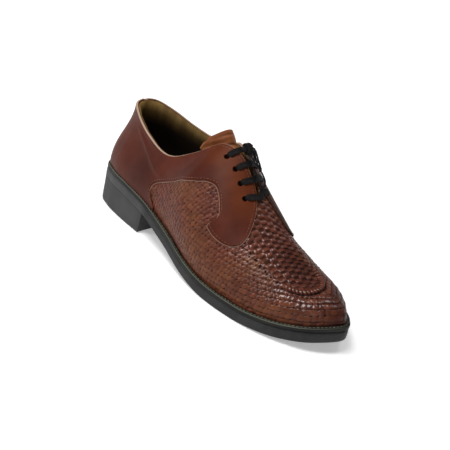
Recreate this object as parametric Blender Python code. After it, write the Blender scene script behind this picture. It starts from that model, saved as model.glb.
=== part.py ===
# A right blucher shoe: woven leather upper with smooth quarters, open lacing, tongue and a rubber sole.
# Sizes are in millimetres from the back of the sole: X to the toe, Y to the shoe's left, Z up.
# The lateral side is at -Y. Every point of the upper comes from surface(side, w, v):
# w runs from the heel back (0) to the toe tip (1), v from the feather line (0) to the top line (1).

import math

import bmesh
import bpy
import numpy as np

MM = 0.001
LATERAL, MEDIAL = -1, 1

FEATHER_LENGTH = 279.0      # length of the last where the upper meets the sole
FEATHER_BACK = 5.0          # from the back of the sole to the back of the last
RIDGE_SHIFT = 7.0           # how far the toe turns to the inside of the foot
RIDGE_X = (120.0, 200.0, 250.0, 290.0)
RIDGE_TURN = (0.0, 0.2, 0.85, 1.0)  # shares of that shift
RIDGE_FROM = 0.54           # girth station where the wall starts to follow the slope of the ridge
RIDGE_STEEPEST = 0.9
TOP_TURN = (0.3, 0.6)       # stations where the top of the wall turns from the sole's plan to the ridge
THROAT_W = 0.615            # girth station where the throat closes into the vamp
GAP = 0.3                   # clearance between pieces that meet
STEP = 2e-3                 # share of girth or height over which slopes are taken

WALL = 1.8                  # woven upper
WEAVE_DEPTH = 0.5           # step between a strip that passes over and one that passes under
QUARTER_WALL = 1.4
QUARTER_CLEAR = 0.4
SKIVE = 0.3                 # the upper is pared this much under the quarter
SEAM_RISE = 1.8             # plaited seam around the apron
SEAM_HALF = 0.03            # its half width as a share of the girth
SEAM_FADE = (0.70, 0.73)    # stations where the seam comes out from under the quarter
APRON_HALF_WIDTH = 20.4
APRON_SHIFT = 8.5           # from the ridge to the apron's middle, to the outside of the foot
APRON_FRONT = 257.3         # foremost point of the apron seam
APRON_ARC = 35.0            # length of the rounded front of the apron
APRON_POWER = 2.2           # roundness of that front
APRON_FROM = 0.68           # the seam keeps its height behind this station
APRON_LOWEST = 0.2          # height share below which the seam never falls
SEARCH_STEPS = 30

COLUMNS_TO_THROAT = 28
COLUMNS_TO_TOE = 18
COLUMN_CROWDING = 0.11
SKIRT_ROWS = 9
APRON_ROWS = 5

INSOLE_THICK = 3.0
WELT_THICK = 3.2
WELT_CLEAR = 0.45           # from the upper to the welt
WELT_FOOT_CUT = 0.5         # the welt's edge is cut back at its foot and top
WELT_TOP_CUT = 0.3
WELT_BULGE = 0.3            # height share of the edge's widest line
WELT_REACH = 0.2            # height share of the upper beside the welt
HEEL_LENGTH = 77.0
HEEL_INSET = 0.4            # the heel stands this much inside the sole
HEEL_CORNER = 4.0           # no station of the sole's edge is used this near to the breast
HEEL_TAPER = 0.965          # the heel's foot to its top
HEEL_PITCH = -8.0           # slope of the sole at the heel's back, in mm per feather length
BREAST_HOLLOW = 3.0
BREAST_POINTS = 5
SOLE_OVERRUN = 0.03         # share of the feather length by which the sole passes the last

TONGUE_WALL = 2.0
TONGUE_CLEAR = 1.2          # from the inside of the upper to the tongue
TONGUE_RISE = 13.5          # how far the tongue stands above the facings
TONGUE_LEAN = 37.0          # its slope there, in degrees from upright

EYELETS = {                 # girth station and height share, from the top of the facing down
    LATERAL: ((0.483, 0.914), (0.526, 0.914), (0.564, 0.900), (0.600, 0.862)),
    MEDIAL: ((0.474, 0.905), (0.516, 0.905), (0.553, 0.895), (0.588, 0.862)),
}
EYELET_DIAMETER = 4.6
LACE_WIDTH = 5.0
LACE_THICK = 2.4
LACE_ROUND = 3.2            # the lace where it hangs free
LACE_SIDES = 8
BAR_STATIONS = 11
PUNCH_SIDES = 12
PUNCH_REACH = 5.4           # to both sides of the surface
SHARP_EDGE = math.radians(40)


class Table:
    # Rows of a piece's sections; a named column reads as a smooth curve along the first column.
    def __init__(self, columns, rows):
        self.columns = columns
        self.rows = np.array(rows, float)

    def column(self, name):
        return self.rows[:, self.columns.index(name)]

    def read(self, name, at, first=None, last=None):
        x, y = self.rows[:, 0], self.column(name)
        step, rise = np.diff(x), np.diff(y) / np.diff(x)
        slope = np.empty_like(y)
        slope[1:-1] = (rise[:-1] * step[1:] + rise[1:] * step[:-1]) / (step[:-1] + step[1:])
        slope[0] = rise[0] if first is None else first
        slope[-1] = rise[-1] if last is None else last
        at = np.asarray(at, float)
        i = np.clip(np.searchsorted(x, at, side="right") - 1, 0, len(x) - 2)
        t = (at - x[i]) / step[i]
        start = (2 * t**3 - 3 * t**2 + 1) * y[i] + (t**3 - 2 * t**2 + t) * step[i] * slope[i]
        end = (3 * t**2 - 2 * t**3) * y[i + 1] + (t**3 - t**2) * step[i] * slope[i + 1]
        return start + end


FEATHER = Table(("w", "lateral_x", "lateral_y", "medial_x", "medial_y"), (
    # x is a share of the feather length
    (0.000, 0.000, 0.0, 0.000, 0.0),
    (0.050, 0.018, -17.5, 0.018, 17.0),
    (0.110, 0.070, -25.0, 0.070, 24.5),
    (0.200, 0.160, -29.0, 0.160, 28.0),
    (0.320, 0.290, -30.0, 0.290, 25.5),
    (0.440, 0.410, -34.0, 0.420, 23.5),
    (0.550, 0.520, -41.0, 0.530, 28.0),
    (0.650, 0.620, -44.5, 0.640, 36.0),
    (0.740, 0.720, -43.5, 0.735, 41.5),
    (0.820, 0.815, -38.5, 0.825, 41.5),
    (0.900, 0.905, -28.0, 0.910, 34.5),
    (0.955, 0.968, -14.0, 0.968, 20.5),
    (1.000, 1.000, RIDGE_SHIFT, 1.000, RIDGE_SHIFT),
))

SOLE = Table(("x", "bottom", "thick"), (
    # x is a share of the feather length; the forefoot stands flat on the floor
    (0.00, 23.5, 7.6),
    (0.24, 20.0, 7.8),
    (0.34, 13.8, 8.2),
    (0.46, 6.8, 8.4),
    (0.57, 1.6, 8.6),
    (0.64, 0.0, 8.8),
    (0.77, 0.0, 8.8),
    (0.84, 1.4, 9.0),
    (0.92, 4.6, 9.6),
    (1.00, 10.6, 10.0),
))
FLAT_FROM, FLAT_TO = 0.64, 0.77

TOP_LINE = Table(("w", "x", "lateral_z", "medial_z", "lateral_gap", "medial_gap"), (
    # gap is the distance from the ridge of the last to the edge of the opening
    (0.000, 13.5, 94.5, 94.5, 0.0, 0.0),
    (0.050, 16.5, 93.5, 94.0, 10.0, 10.0),
    (0.110, 29.0, 90.0, 91.0, 18.0, 18.0),
    (0.200, 55.5, 81.5, 86.5, 24.3, 24.0),
    (0.300, 86.0, 77.5, 88.0, 25.0, 23.5),
    (0.380, 109.0, 91.0, 96.0, 19.5, 19.0),
    (0.440, 127.5, 106.5, 104.5, 9.5, 9.5),
    (0.500, 144.0, 103.5, 99.5, 4.5, 5.0),
    (0.560, 159.7, 91.3, 88.0, 3.5, 3.5),
    (THROAT_W, 176.0, 75.0, 75.0, 0.0, 0.0),
    (0.667, 191.5, 63.5, 63.5, 0.0, 0.0),
    (0.780, 215.5, 52.2, 52.2, 0.0, 0.0),
    (0.900, 234.5, 46.3, 46.3, 0.0, 0.0),
    (1.000, 243.0, 44.5, 44.5, 0.0, 0.0),
))

PROFILE = Table(("w", "foot_lean", "foot_reach", "top_lean", "lateral_reach", "medial_reach"), (
    # leans in degrees: outward from upright at the foot, downward from level at the top
    # reaches are shares of the distance from the feather line to the top line
    (0.000, 3.0, 0.440, 92.0, 0.380, 0.380),
    (0.110, 13.0, 0.440, 92.0, 0.380, 0.380),
    (0.200, 16.0, 0.430, 92.0, 0.375, 0.375),
    (0.300, 20.0, 0.450, 78.0, 0.360, 0.360),
    (0.400, 26.0, 0.480, 52.0, 0.390, 0.375),
    (0.480, 30.0, 0.500, 29.0, 0.400, 0.350),
    (0.560, 30.0, 0.490, 15.0, 0.450, 0.310),
    (THROAT_W, 28.5, 0.475, 0.0, 0.475, 0.345),
    (0.667, 26.0, 0.460, 0.0, 0.485, 0.385),
    (0.800, 15.0, 0.400, 0.0, 0.495, 0.435),
    (1.000, 8.0, 0.430, 0.0, 0.530, 0.530),
))

LEDGE = Table(("w", "width"), (
    # how far the sole stands out from the feather line
    (0.0, 3.7),
    (0.2, 3.6),
    (0.4, 5.4),
    (0.6, 5.4),
    (0.8, 5.3),
    (1.0, 4.8),
))

QUARTER_COLUMNS = ("row", "outer_w", "outer_v", "inner_w", "inner_v")
QUARTER_REAR = (
    # outer edge: collar and facing; inner edge: welt, rear and top of the woven side
    (0, 0.0008, 1.000, 0.0006, 0.070),
    (1, 0.018, 1.000, 0.030, 0.070),
    (2, 0.036, 1.000, 0.060, 0.070),
    (3, 0.056, 1.000, 0.095, 0.070),
    (4, 0.078, 1.000, 0.140, 0.070),
    (5, 0.105, 1.000, 0.195, 0.070),
    (6, 0.135, 1.000, 0.260, 0.070),
    (7, 0.170, 1.000, 0.328, 0.070),
    (8, 0.205, 1.000, 0.305, 0.205),
    (9, 0.235, 1.000, 0.295, 0.335),
    (10, 0.265, 1.000, 0.302, 0.447),
    (11, 0.305, 1.000, 0.320, 0.522),
    (12, 0.345, 1.000, 0.354, 0.572),
    (13, 0.390, 1.000, 0.399, 0.580),
    (14, 0.430, 1.000, 0.448, 0.566),
    (15, 0.460, 1.000, 0.487, 0.618),
    (16, 0.488, 1.000, 0.512, 0.684),
    (17, 0.515, 1.000, 0.540, 0.732),
    (18, 0.545, 1.000, 0.567, 0.710),
)
QUARTER_LOBE = {
    # the rounded front of each facing; the inner one lies lower on the foot
    LATERAL: (
        (19, 0.568, 0.998, 0.590, 0.655),
        (20, 0.586, 0.983, 0.605, 0.605),
        (21, 0.607, 0.951, 0.608, 0.545),
        (22, 0.631, 0.903, 0.603, 0.475),
        (23, 0.649, 0.855, 0.615, 0.458),
        (24, 0.666, 0.795, 0.634, 0.460),
        (25, 0.681, 0.733, 0.656, 0.481),
        (26, 0.690, 0.668, 0.675, 0.518),
        (27, 0.693, 0.620, 0.687, 0.560),
    ),
    MEDIAL: (
        (19, 0.568, 0.985, 0.590, 0.655),
        (20, 0.587, 0.935, 0.605, 0.605),
        (21, 0.607, 0.860, 0.608, 0.545),
        (22, 0.631, 0.812, 0.603, 0.475),
        (23, 0.649, 0.773, 0.615, 0.458),
        (24, 0.664, 0.744, 0.632, 0.460),
        (25, 0.677, 0.718, 0.650, 0.480),
        (26, 0.682, 0.668, 0.665, 0.512),
        (27, 0.681, 0.618, 0.675, 0.555),
    ),
}
QUARTER = {side: Table(QUARTER_COLUMNS, QUARTER_REAR + lobe) for side, lobe in QUARTER_LOBE.items()}
QUARTER_STEPS = 6
QUARTER_FINE_ROWS = 8       # rows at half steps around the heel, up to this one

TONGUE = Table(("w", "lateral_v", "medial_v"), (
    # height shares of the tongue's side edges, from the top of the facings to its foot
    (0.445, 0.950, 0.970),
    (0.490, 0.870, 0.935),
    (0.540, 0.800, 0.920),
    (0.655, 0.800, 0.920),
))
TONGUE_STATIONS = 10
TONGUE_POINTS = 9           # across the tongue
TONGUE_SIDE_POINTS = 4      # taken on each side of the throat

TONGUE_HEAD = Table(("rise", "lateral_out", "lateral_back", "lateral_drop",
                     "medial_out", "medial_back", "medial_drop"), (
    # above the facings: shares of the rise, and where the rolled side edges lie from the middle
    (0.30, 9.4, 8.0, 8.0, 8.2, 2.0, 3.2),
    (0.66, 13.8, 11.5, 9.8, 8.2, 2.6, 3.0),
    (1.00, 13.4, 6.6, 5.8, 6.8, 3.2, 2.0),
))

SOLE_SIDE = Table(("height", "inset"), (
    # side of the outsole from the floor up: rounded foot, flat wall, groove under the welt
    (0.00, 1.0),
    (0.12, 0.2),
    (0.86, 0.3),
    (1.00, 1.1),
))

# Free parts of the lace: points on their way (x, y, z)
KNOT_CENTRE = (145.2, -0.3, 111.4)
KNOT_SIZE = (8.6, 11.2, 6.6)
KNOT_TILT = 35.0            # degrees, along the instep
KNOT_SEGMENTS, KNOT_RINGS = 12, 8
CORD_STEP = 2.2             # points along a cord, in diameters
CORD_ROUNDNESS = 2
CORD_ROUTES = {
    "lace_loop_long": (
        (151.4, -1.8, 108.8), (156.0, -1.2, 105.6), (160.5, 0.8, 101.7),
        (165.5, 3.0, 97.2), (169.5, 3.5, 92.7), (171.5, 2.2, 89.0),
        (169.0, 0.2, 89.8), (165.0, -1.3, 94.8), (160.5, -2.3, 99.1)),
    "lace_loop_short": (
        (149.6, 5.0, 110.4), (152.4, 4.4, 108.6), (155.4, 4.3, 105.4), (158.4, 5.0, 101.4),
        (158.8, 6.2, 98.0), (155.5, 6.8, 98.9), (151.5, 7.2, 102.1), (147.0, 7.9, 105.5)),
    "lace_end_upper": (
        (141.0, 6.2, 112.2), (136.5, 9.8, 109.6), (132.5, 14.5, 105.8),
        (129.5, 19.5, 100.7), (127.8, 24.5, 94.2), (126.8, 28.6, 88.4)),
    "lace_end_lower": (
        (143.3, 7.4, 109.8), (139.6, 11.8, 107.6), (136.0, 17.0, 103.8),
        (133.2, 22.0, 98.2), (131.2, 26.5, 91.4), (130.0, 30.2, 85.4)),
}

COLOURS = {
    "woven": ((0.165, 0.045, 0.025), 0.38),
    "smooth": ((0.150, 0.032, 0.016), 0.30),
    "tongue": ((0.280, 0.090, 0.030), 0.45),
    "rubber": ((0.018, 0.018, 0.019), 0.55),
    "heel": ((0.030, 0.030, 0.031), 0.60),
    "insole": ((0.210, 0.140, 0.060), 0.70),
    "lace": ((0.012, 0.009, 0.009), 0.50),
}


def girth_stations():
    # columns of the upper and sole, closer together around the heel and the toe
    share = np.linspace(0.0, 1.0, COLUMNS_TO_THROAT + 1)
    rear = share - COLUMN_CROWDING * np.sin(math.pi * share)
    share = np.linspace(0.0, 1.0, COLUMNS_TO_TOE + 1)
    front = share + COLUMN_CROWDING * np.sin(math.pi * share)
    return np.concatenate([rear * THROAT_W, THROAT_W + front[1:] * (1 - THROAT_W)])


def feather(side, w):
    # plan of the last's foot, as x and y
    name = "lateral" if side == LATERAL else "medial"
    first = FEATHER.rows[1]
    heel_turn = (first[4] - first[2]) / (2 * first[0])
    last = FEATHER.rows[-2]
    toe_turn = (last[4] - last[2]) / (2 * (1 - last[0]))
    x = FEATHER.read(name + "_x", w, 0.0, 0.0) * FEATHER_LENGTH + FEATHER_BACK
    y = FEATHER.read(name + "_y", w, side * heel_turn, -side * toe_turn)
    return x, y


def outward(side, w):
    # plan direction away from the last
    step = 1e-4
    ax, ay = feather(side, np.clip(w - step, 0, 1))
    bx, by = feather(side, np.clip(w + step, 0, 1))
    nx, ny = side * (ay - by), side * (bx - ax)
    size = np.hypot(nx, ny)
    return nx / size, ny / size


def sole_bottom(x):
    share = np.clip((x - FEATHER_BACK) / FEATHER_LENGTH, -SOLE_OVERRUN, 1 + SOLE_OVERRUN)
    curved = np.maximum(SOLE.read("bottom", share, HEEL_PITCH), 0.0)
    return np.where((share >= FLAT_FROM) & (share <= FLAT_TO), 0.0, curved)


def sole_top(x):
    share = np.clip((x - FEATHER_BACK) / FEATHER_LENGTH, -SOLE_OVERRUN, 1 + SOLE_OVERRUN)
    return sole_bottom(x) + SOLE.read("thick", share, 0.0, 0.0)


def ridge_y(x):
    # the ridge of the last bends to the inside of the foot
    return RIDGE_SHIFT * np.interp(x, RIDGE_X, RIDGE_TURN)


def top_line(side, w):
    name = "lateral" if side == LATERAL else "medial"
    start = TOP_LINE.column(name + "_gap")[1] / TOP_LINE.rows[1, 0]
    gap = np.maximum(TOP_LINE.read(name + "_gap", w, start), 0.0)
    gap = np.where(np.asarray(w) >= THROAT_W, 0.0, gap)
    x = TOP_LINE.read("x", w, 0.0)
    return np.stack([x, side * gap + ridge_y(x), TOP_LINE.read(name + "_z", w, 0.0)], -1)


def ramp(value, low, high):
    t = np.clip((value - low) / (high - low), 0.0, 1.0)
    return t * t * (3 - 2 * t)


def surface(side, w, v):
    # outside of the last: one curve with two handles at each girth station
    w, v = np.broadcast_arrays(np.asarray(w, float), np.asarray(v, float))
    name = "lateral" if side == LATERAL else "medial"
    fx, fy = feather(side, w)
    foot = np.stack([fx, fy, sole_top(fx) + GAP], -1)
    top = top_line(side, w)
    reach = np.linalg.norm(top - foot, axis=-1)
    nx, ny = outward(side, w)
    foot_lean = np.radians(PROFILE.read("foot_lean", w))
    top_lean = np.radians(PROFILE.read("top_lean", w))
    rise = np.stack([nx * np.sin(foot_lean), ny * np.sin(foot_lean), np.cos(foot_lean)], -1)

    px, py = fx - top[..., 0], fy - top[..., 1]
    size = np.hypot(px, py) + 1e-6
    turn = ramp(w, *TOP_TURN)
    ox, oy = nx * (1 - turn) + px / size * turn, ny * (1 - turn) + py / size * turn
    size = np.hypot(ox, oy)
    ox, oy = ox / size, oy / size
    run = top_line(side, np.clip(w + STEP, 0, 1)) - top_line(side, np.clip(w - STEP, 0, 1))
    slope = np.clip(run[..., 2] / (run[..., 0] + 1e-9), -RIDGE_STEEPEST, RIDGE_STEEPEST)
    down = -np.sin(top_lean) + ramp(w, RIDGE_FROM, THROAT_W) * slope * ox
    fall = np.stack([ox * np.cos(top_lean), oy * np.cos(top_lean), down], -1)

    low = foot + (PROFILE.read("foot_reach", w) * reach)[..., None] * rise
    high = top + (PROFILE.read(name + "_reach", w) * reach)[..., None] * fall
    v = v[..., None]
    return (1 - v)**3 * foot + 3 * (1 - v)**2 * v * low + 3 * (1 - v) * v**2 * high + v**3 * top


def skin(side, w, v, lift):
    # a point lifted off the surface along its normal
    w, v = np.broadcast_arrays(np.asarray(w, float), np.asarray(v, float))
    along = surface(side, np.minimum(w + STEP, 1), v) - surface(side, np.maximum(w - STEP, 0), v)
    up = surface(side, w, np.minimum(v + STEP, 1)) - surface(side, w, np.maximum(v - STEP, 0))
    normal = np.cross(along, up) * -side
    normal /= np.linalg.norm(normal, axis=-1, keepdims=True)
    return surface(side, w, v) + np.asarray(lift, float)[..., None] * normal


def in_apron(point):
    # below 1 inside the apron seam's plan, above 1 outside it
    across = abs(point[1] - ridge_y(point[0]) + APRON_SHIFT) / APRON_HALF_WIDTH
    ahead = max(0.0, point[0] - (APRON_FRONT - APRON_ARC)) / APRON_ARC
    return across**APRON_POWER + ahead**APRON_POWER


def apron_height(side, w):
    # height share where a girth line crosses the apron seam
    w = max(w, APRON_FROM)
    low, high = APRON_LOWEST, 1.0
    for _ in range(SEARCH_STEPS):
        middle = (low + high) / 2
        if in_apron(surface(side, w, middle)) > 1.0:
            low = middle
        else:
            high = middle
    return low


def covered(side, w, v):
    # whether a point of the upper lies under the quarter
    rows = QUARTER[side].rows
    edge = np.concatenate([rows[:, 1:3], rows[::-1, 3:5]])
    inside = False
    for (aw, av), (bw, bv) in zip(edge, np.roll(edge, -1, axis=0)):
        if (av > v) != (bv > v) and w < aw + (v - av) / (bv - av) * (bw - aw):
            inside = not inside
    return inside or (v > 1 - STEP and w < THROAT_W) or w < STEP


def material(name):
    colour, roughness = COLOURS[name]
    made = bpy.data.materials.get(name) or bpy.data.materials.new(name)
    made.use_nodes = True
    shader = made.node_tree.nodes["Principled BSDF"]
    shader.inputs["Base Color"].default_value = (*colour, 1.0)
    shader.inputs["Roughness"].default_value = roughness
    shader.inputs["Metallic"].default_value = 0.0
    return made


def add_object(name, data, colour):
    data.materials.append(material(colour))
    made = bpy.data.objects.new(name, data)
    bpy.context.collection.objects.link(made)
    return made


def add_mesh(name, points, faces, colour):
    data = bpy.data.meshes.new(name)
    data.from_pydata([tuple(MM * float(c) for c in p) for p in points], [], faces)
    built = bmesh.new()
    built.from_mesh(data)
    bmesh.ops.remove_doubles(built, verts=built.verts, dist=1e-7)
    bmesh.ops.recalc_face_normals(built, faces=built.faces)
    built.to_mesh(data)
    built.free()
    data.shade_smooth()
    data.set_sharp_from_angle(angle=SHARP_EDGE)
    return add_object(name, data, colour)


def bridge(row_a, row_b, closed):
    # quads between two rows of point numbers
    count = len(row_a)
    pairs = range(count if closed else count - 1)
    return [(row_a[i], row_a[(i + 1) % count], row_b[(i + 1) % count], row_b[i]) for i in pairs]


def loft(rings, closed_rings, cap):
    # points and faces of a stack of rows with the same number of points
    count = len(rings[0])
    points = [p for ring in rings for p in ring]
    numbers = [[r * count + i for i in range(count)] for r in range(len(rings))]
    faces = []
    for low, high in zip(numbers, numbers[1:]):
        faces += bridge(low, high, closed_rings)
    if cap:
        faces += [tuple(numbers[0]), tuple(numbers[-1])]
    return points, faces


def shell(outer, inner):
    # closed sheet between two grids of points with the same rows and columns
    rows, columns = len(outer), len(outer[0])
    points = [p for grid in (outer, inner) for row in grid for p in row]
    number = np.arange(2 * rows * columns).reshape(2, rows, columns).tolist()
    faces = []
    for grid in number:
        for low, high in zip(grid, grid[1:]):
            faces += bridge(low, high, False)
    for r in (0, -1):
        faces += bridge(number[0][r], number[1][r], False)
    for c in (0, -1):
        faces += bridge([row[c] for row in number[0]], [row[c] for row in number[1]], False)
    return points, faces


def upper_rows(side, w):
    # height shares of one girth line: skirt, seam with a row on each side of it, apron
    seam = apron_height(side, w)
    skirt = np.linspace(0.0, seam - SEAM_HALF, SKIRT_ROWS + 1)
    apron = np.linspace(seam + SEAM_HALF, 1.0, APRON_ROWS + 1)
    return np.concatenate([skirt, [seam], apron])


def make_upper():
    stations = girth_stations()
    columns = COLUMNS_TO_THROAT + COLUMNS_TO_TOE
    seam_row = SKIRT_ROWS + 1
    last_row = SKIRT_ROWS + APRON_ROWS + 2
    built = bmesh.new()
    keys, lifts = {}, {}

    def vertex(side, column, row, place, lift):
        shared = column in (0, columns) or (row == last_row and column >= COLUMNS_TO_THROAT)
        key = (0 if shared else side, column, row)
        if key not in keys:
            keys[key] = built.verts.new(place)
            lifts[keys[key]] = lift
        return keys[key]

    grid = {}
    for side in (LATERAL, MEDIAL):
        for column, w in enumerate(stations):
            shares = upper_rows(side, w)
            line = surface(side, w, shares)
            for row, v in enumerate(shares):
                if covered(side, w, v):
                    lift = -SKIVE
                elif (column + row) % 2 == 0 and row > 0:
                    lift = -WEAVE_DEPTH
                else:
                    lift = 0.0
                if row == seam_row and w > SEAM_FADE[0]:
                    lift = SEAM_RISE * float(ramp(w, *SEAM_FADE))
                grid[side, column, row] = vertex(side, column, row, line[row], lift)

    outer_faces = []
    for side in (LATERAL, MEDIAL):
        for column in range(columns):
            for row in range(last_row):
                corners = [(column, row), (column + 1, row), (column + 1, row + 1), (column, row + 1)]
                order = corners if side == LATERAL else corners[::-1]
                outer_faces.append([grid[(side,) + c] for c in order])
    for face in outer_faces:
        built.faces.new(face)
    built.normal_update()
    normals = {v: v.normal.copy() for v in built.verts}
    base = {v: v.co.copy() for v in built.verts}

    inside = {}
    for key, v in list(keys.items()):
        if key[2] % 2 == 0:
            inside[v] = built.verts.new(base[v] - WALL * normals[v])
    for v, lift in lifts.items():
        v.co = base[v] + lift * normals[v]
    for side in (LATERAL, MEDIAL):
        for column in range(columns):
            for row in range(0, last_row, 2):
                corners = [(column, row), (column + 1, row), (column + 1, row + 2), (column, row + 2)]
                order = corners[::-1] if side == LATERAL else corners
                built.faces.new([inside[grid[(side,) + c]] for c in order])
            edges = [0] if column >= COLUMNS_TO_THROAT else [0, last_row]
            for row in edges:
                a, b = grid[side, column, row], grid[side, column + 1, row]
                built.faces.new([a, b, inside[b], inside[a]])
    bmesh.ops.recalc_face_normals(built, faces=built.faces)
    bmesh.ops.scale(built, vec=(MM, MM, MM), verts=built.verts)
    data = bpy.data.meshes.new("upper")
    built.to_mesh(data)
    built.free()
    return add_object("upper", data, "woven")


def make_quarter(name, side):
    share = np.linspace(0.0, 1.0, QUARTER_STEPS + 1)
    edges = QUARTER[side]
    last = edges.rows[-1, 0]
    heel_rows = np.arange(0.0, QUARTER_FINE_ROWS, 0.5)
    rows = np.concatenate([heel_rows, np.arange(QUARTER_FINE_ROWS, last + 1)])
    grids = []
    for lift in (QUARTER_CLEAR + QUARTER_WALL, QUARTER_CLEAR):
        grid = []
        for row in rows:
            w = edges.read("outer_w", row) * (1 - share) + edges.read("inner_w", row) * share
            v = edges.read("outer_v", row) * (1 - share) + edges.read("inner_v", row) * share
            grid.append(skin(side, w, np.minimum(v, 1.0), lift))
        grids.append(grid)
    return add_mesh(name, *shell(*grids), "smooth")


def sole_loop(width_share=1.0, inset=0.0):
    # plan of the sole's edge around the shoe: lateral side to the toe, medial side back
    # each point also has the last's own x at its station, which sets the sole's height there
    stations = girth_stations()
    plan = []
    for side, order in ((LATERAL, stations), (MEDIAL, stations[-2:0:-1])):
        x, y = feather(side, order)
        nx, ny = outward(side, order)
        out = LEDGE.read("width", order) * width_share - inset
        plan += list(zip(x + nx * out, y + ny * out, x))
    return plan


def cross_faces(loop_numbers):
    # strips across a loop, lateral point to medial point of the same station
    count = len(loop_numbers)
    faces = []
    for i in range(count // 2):
        a, b = loop_numbers[i], loop_numbers[i + 1]
        c, d = loop_numbers[(count - i - 1) % count], loop_numbers[(count - i) % count]
        faces.append(tuple(dict.fromkeys((a, b, c, d))))
    return faces


def make_plate(name, rings, colour):
    # a plate with the sole's stations: stacked loops closed by strips across the foot
    points, faces = loft(rings, True, False)
    count = len(rings[0])
    top = (len(rings) - 1) * count
    faces += cross_faces(list(range(count)))
    faces += cross_faces(list(range(top, top + count)))
    return add_mesh(name, points, faces, colour)


def make_outsole():
    rings = []
    for height, inset in SOLE_SIDE.rows:
        ring = []
        for x, y, last_x in sole_loop(inset=inset):
            low, high = float(sole_bottom(last_x)), float(sole_top(last_x))
            ring.append((x, y, low + (high - low) * height))
        rings.append(ring)
    return make_plate("outsole", rings, "rubber")


def make_insole():
    clear = WALL + 2 * GAP
    plan = sole_loop(0.0, clear)
    rings = []
    for rise in (GAP, GAP + INSOLE_THICK):
        rings.append([(x, y, float(sole_top(last_x)) + rise) for x, y, last_x in plan])
    return make_plate("insole", rings, "insole")


def make_welt():
    # a ledge around the upper: its inner face follows the leaning wall, its edge is rounded
    stations = girth_stations()
    rings = []
    for side, order in ((LATERAL, stations), (MEDIAL, stations[-2:0:-1])):
        for w in order:
            x, y = feather(side, w)
            nx, ny = outward(side, w)
            base = float(sole_top(x)) + GAP
            wide = float(LEDGE.read("width", w))
            wall = surface(side, w, np.linspace(0.0, WELT_REACH, SEARCH_STEPS))
            lean = np.interp(base + WELT_THICK, wall[:, 2], (wall[:, 0] - x) * nx + (wall[:, 1] - y) * ny)
            profile = (
                (WELT_CLEAR, 0.0),
                (wide - WELT_FOOT_CUT, 0.0),
                (wide, WELT_BULGE * WELT_THICK),
                (wide - WELT_TOP_CUT, WELT_THICK),
                (max(float(lean), 0.0) + WELT_CLEAR, WELT_THICK))
            rings.append([(x + nx * out, y + ny * out, base + rise) for out, rise in profile])
    points, faces = loft(rings + rings[:1], True, False)
    return add_mesh("welt", points, faces, "rubber")


def make_heel():
    stations = girth_stations()
    edges = {}
    for side in (LATERAL, MEDIAL):
        x, y = feather(side, stations)
        nx, ny = outward(side, stations)
        out = LEDGE.read("width", stations) - HEEL_INSET
        px, py = x + nx * out, y + ny * out
        keep = px < HEEL_LENGTH - HEEL_CORNER
        end = np.interp(HEEL_LENGTH, px, py)
        edges[side] = list(zip(px[keep], py[keep])) + [(HEEL_LENGTH, end)]
    across = np.linspace(-1.0, 1.0, BREAST_POINTS + 2)[1:-1]
    lateral, medial = edges[LATERAL], edges[MEDIAL]
    middle, half = (medial[-1][1] + lateral[-1][1]) / 2, (medial[-1][1] - lateral[-1][1]) / 2
    breast = [(HEEL_LENGTH - BREAST_HOLLOW * (1 - t * t), middle + half * t) for t in across]
    plan = lateral + breast + medial[:0:-1]
    centre = HEEL_LENGTH / 2
    foot = [(centre + (x - centre) * HEEL_TAPER, y * HEEL_TAPER, 0.0) for x, y in plan]
    top = [(x, y, float(sole_bottom(x)) - GAP) for x, y in plan]
    points, faces = loft([foot, top], True, True)
    return add_mesh("heel", points, faces, "heel")


def smooth_route(points, count):
    # evenly stepped points of a smooth curve through hand-chosen ones
    points = np.array(points, float)
    chord = np.concatenate([[0.0], np.cumsum(np.linalg.norm(np.diff(points, axis=0), axis=1))])
    axes = ("at", "x", "y", "z")
    route = Table(axes, np.column_stack([chord, points]))
    at = np.linspace(0.0, chord[-1], count)
    return np.stack([route.read(axis, at) for axis in axes[1:]], -1)


def tongue_line(w):
    # one row of the tongue's outside across the throat, under both facings
    lift = -(WALL + TONGUE_CLEAR)
    sides = []
    for side, name in ((LATERAL, "lateral_v"), (MEDIAL, "medial_v")):
        sides.append(skin(side, w, np.linspace(TONGUE.read(name, w), 1.0, TONGUE_SIDE_POINTS), lift))
    lateral, medial = sides
    if w >= THROAT_W:
        medial = medial[:-1]
    return smooth_route(np.concatenate([lateral, medial[::-1]]), TONGUE_POINTS)


def tongue_head(facing_top):
    # rows above the facings, rolled back at their sides
    lean = math.radians(TONGUE_LEAN)
    up = np.array((-math.sin(lean), 0.0, math.cos(lean)))
    share = np.linspace(-1.0, 1.0, TONGUE_POINTS)
    rows = []
    for rise, *edges in TONGUE_HEAD.rows:
        out, back, drop = (np.where(share < 0, edges[i], edges[i + 3]) for i in range(3))
        offset = np.stack([-back * share**2, out * share, -drop * share**2], -1)
        rows.append(facing_top[TONGUE_POINTS // 2] + up * TONGUE_RISE * rise + offset)
    return rows


def make_tongue():
    ends = TONGUE.column("w")
    rows = [tongue_line(w) for w in np.linspace(ends[-1], ends[0], TONGUE_STATIONS)]
    outside = np.array(rows + tongue_head(rows[-1]))
    normal = np.cross(np.gradient(outside, axis=1), np.gradient(outside, axis=0))
    normal /= np.linalg.norm(normal, axis=-1, keepdims=True)
    return add_mesh("tongue", *shell(outside, outside - TONGUE_WALL * normal), "tongue")


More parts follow.
